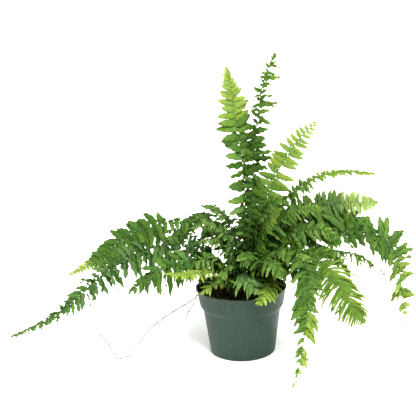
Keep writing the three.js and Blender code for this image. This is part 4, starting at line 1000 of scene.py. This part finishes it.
SCALES = 34  # on each stalk
scale_skin = patchy_skin("stalk_scale", 0.7, 500, 2, (0.06, 0.028, 0.012), (0.24, 0.12, 0.05))
scales = []
for frond in FRONDS.values():
    shares = 0.16 * random.random(SCALES) ** 1.6
    for at, along, left, over in zip(*rib_at({**USUAL, **frond}, shares)[:4]):
        turn = random.uniform(0, 2 * math.pi)
        out = left * math.cos(turn) + over * math.sin(turn)
        side = np.cross(along, out)
        length, broad = random.uniform(1.8, 4), random.uniform(0.3, 0.6)
        foot, lean = at + out * (STALK_RADIUS - 0.35), random.uniform(0.15, 0.7)
        tip = foot + along * length + out * length * lean
        scales.append(([foot - side * broad, foot + side * broad, foot + out * 0.35 - along * 0.2, tip],
                       [[0, 1, 3], [1, 2, 3], [2, 0, 3], [0, 2, 1]]))
many("stalk_scales", scales, scale_skin)

# ---------------------------------------------------------------- runners
# Two bare wiry stems that the plant sends out to root elsewhere: straw-coloured, thin as string, with a
# few short rootlets. One hangs from the rim and trails on the paper, the other is cut short in the air.

RUNNERS = {
    "long": [(-46, 12, 96), (-46, 12, 104), (-54, 22, 111), (-62, 33, 116), (-67, 38, 117), (-71, 40, 110),
             (-72, 39, 98), (-75, 34, 88), (-84, 25, 83), (-95, 16, 78), (-116, 4, 70), (-140, -9, 58),
             (-158, -16, 44), (-179, -21, 19), (-192, -23, 1.2), (-199, -24, 2.4), (-206, -30, 0.8),
             (-214, -27, 0.8), (-225, 3, 0.8), (-249, 67, 0.8), (-256, 79, 0.8), (-260, 73, 0.8)],
    "short": [(-48, -4, 96), (-48, -4, 104), (-58, 10, 112), (-68, 22, 116.5), (-73, 25, 116.5),
              (-77, 27, 108), (-77, 26, 96), (-78, 23, 86), (-85, 16, 74), (-96, 8, 59)],
}
runner_skin = patchy_skin("runner", 0.65, 140, 4, (0.05, 0.044, 0.034), (0.11, 0.1, 0.082), 1200, 0.0003)
rootlets = []
for name, route in RUNNERS.items():
    line = curve(route, 10)
    thick = np.linspace(0.75, 0.55, len(line)) * (1 + 0.12 * np.sin(np.arange(len(line)) * 0.9))
    thick[::23] *= 1.35  # knots, where scales have dropped
    line[:, 2] = np.maximum(line[:, 2], thick + 0.02)
    made = piece(f"runner_{name}", *tube(line, thick, 8), [runner_skin])
    for at in line[35::7]:
        way = unit(np.append(random.normal(0, 1, 2), random.uniform(-0.6, 0.9)))
        ends = [at, at + way * 1.8, at + way * random.uniform(2.5, 5) + random.normal(0, 0.7, 3)]
        ends = [(x, y, max(z, 0.4)) for x, y, z in ends]
        if np.hypot(ends[2][0], ends[2][1]) > 80:
            rootlets.append(tube(curve(ends, 3), (0.22, 0.2, 0.18, 0.16, 0.14, 0.12, 0.1), 5))
    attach(made, "root")
    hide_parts(f"runner_{name}")
many("runner_rootlets", rootlets, runner_skin)
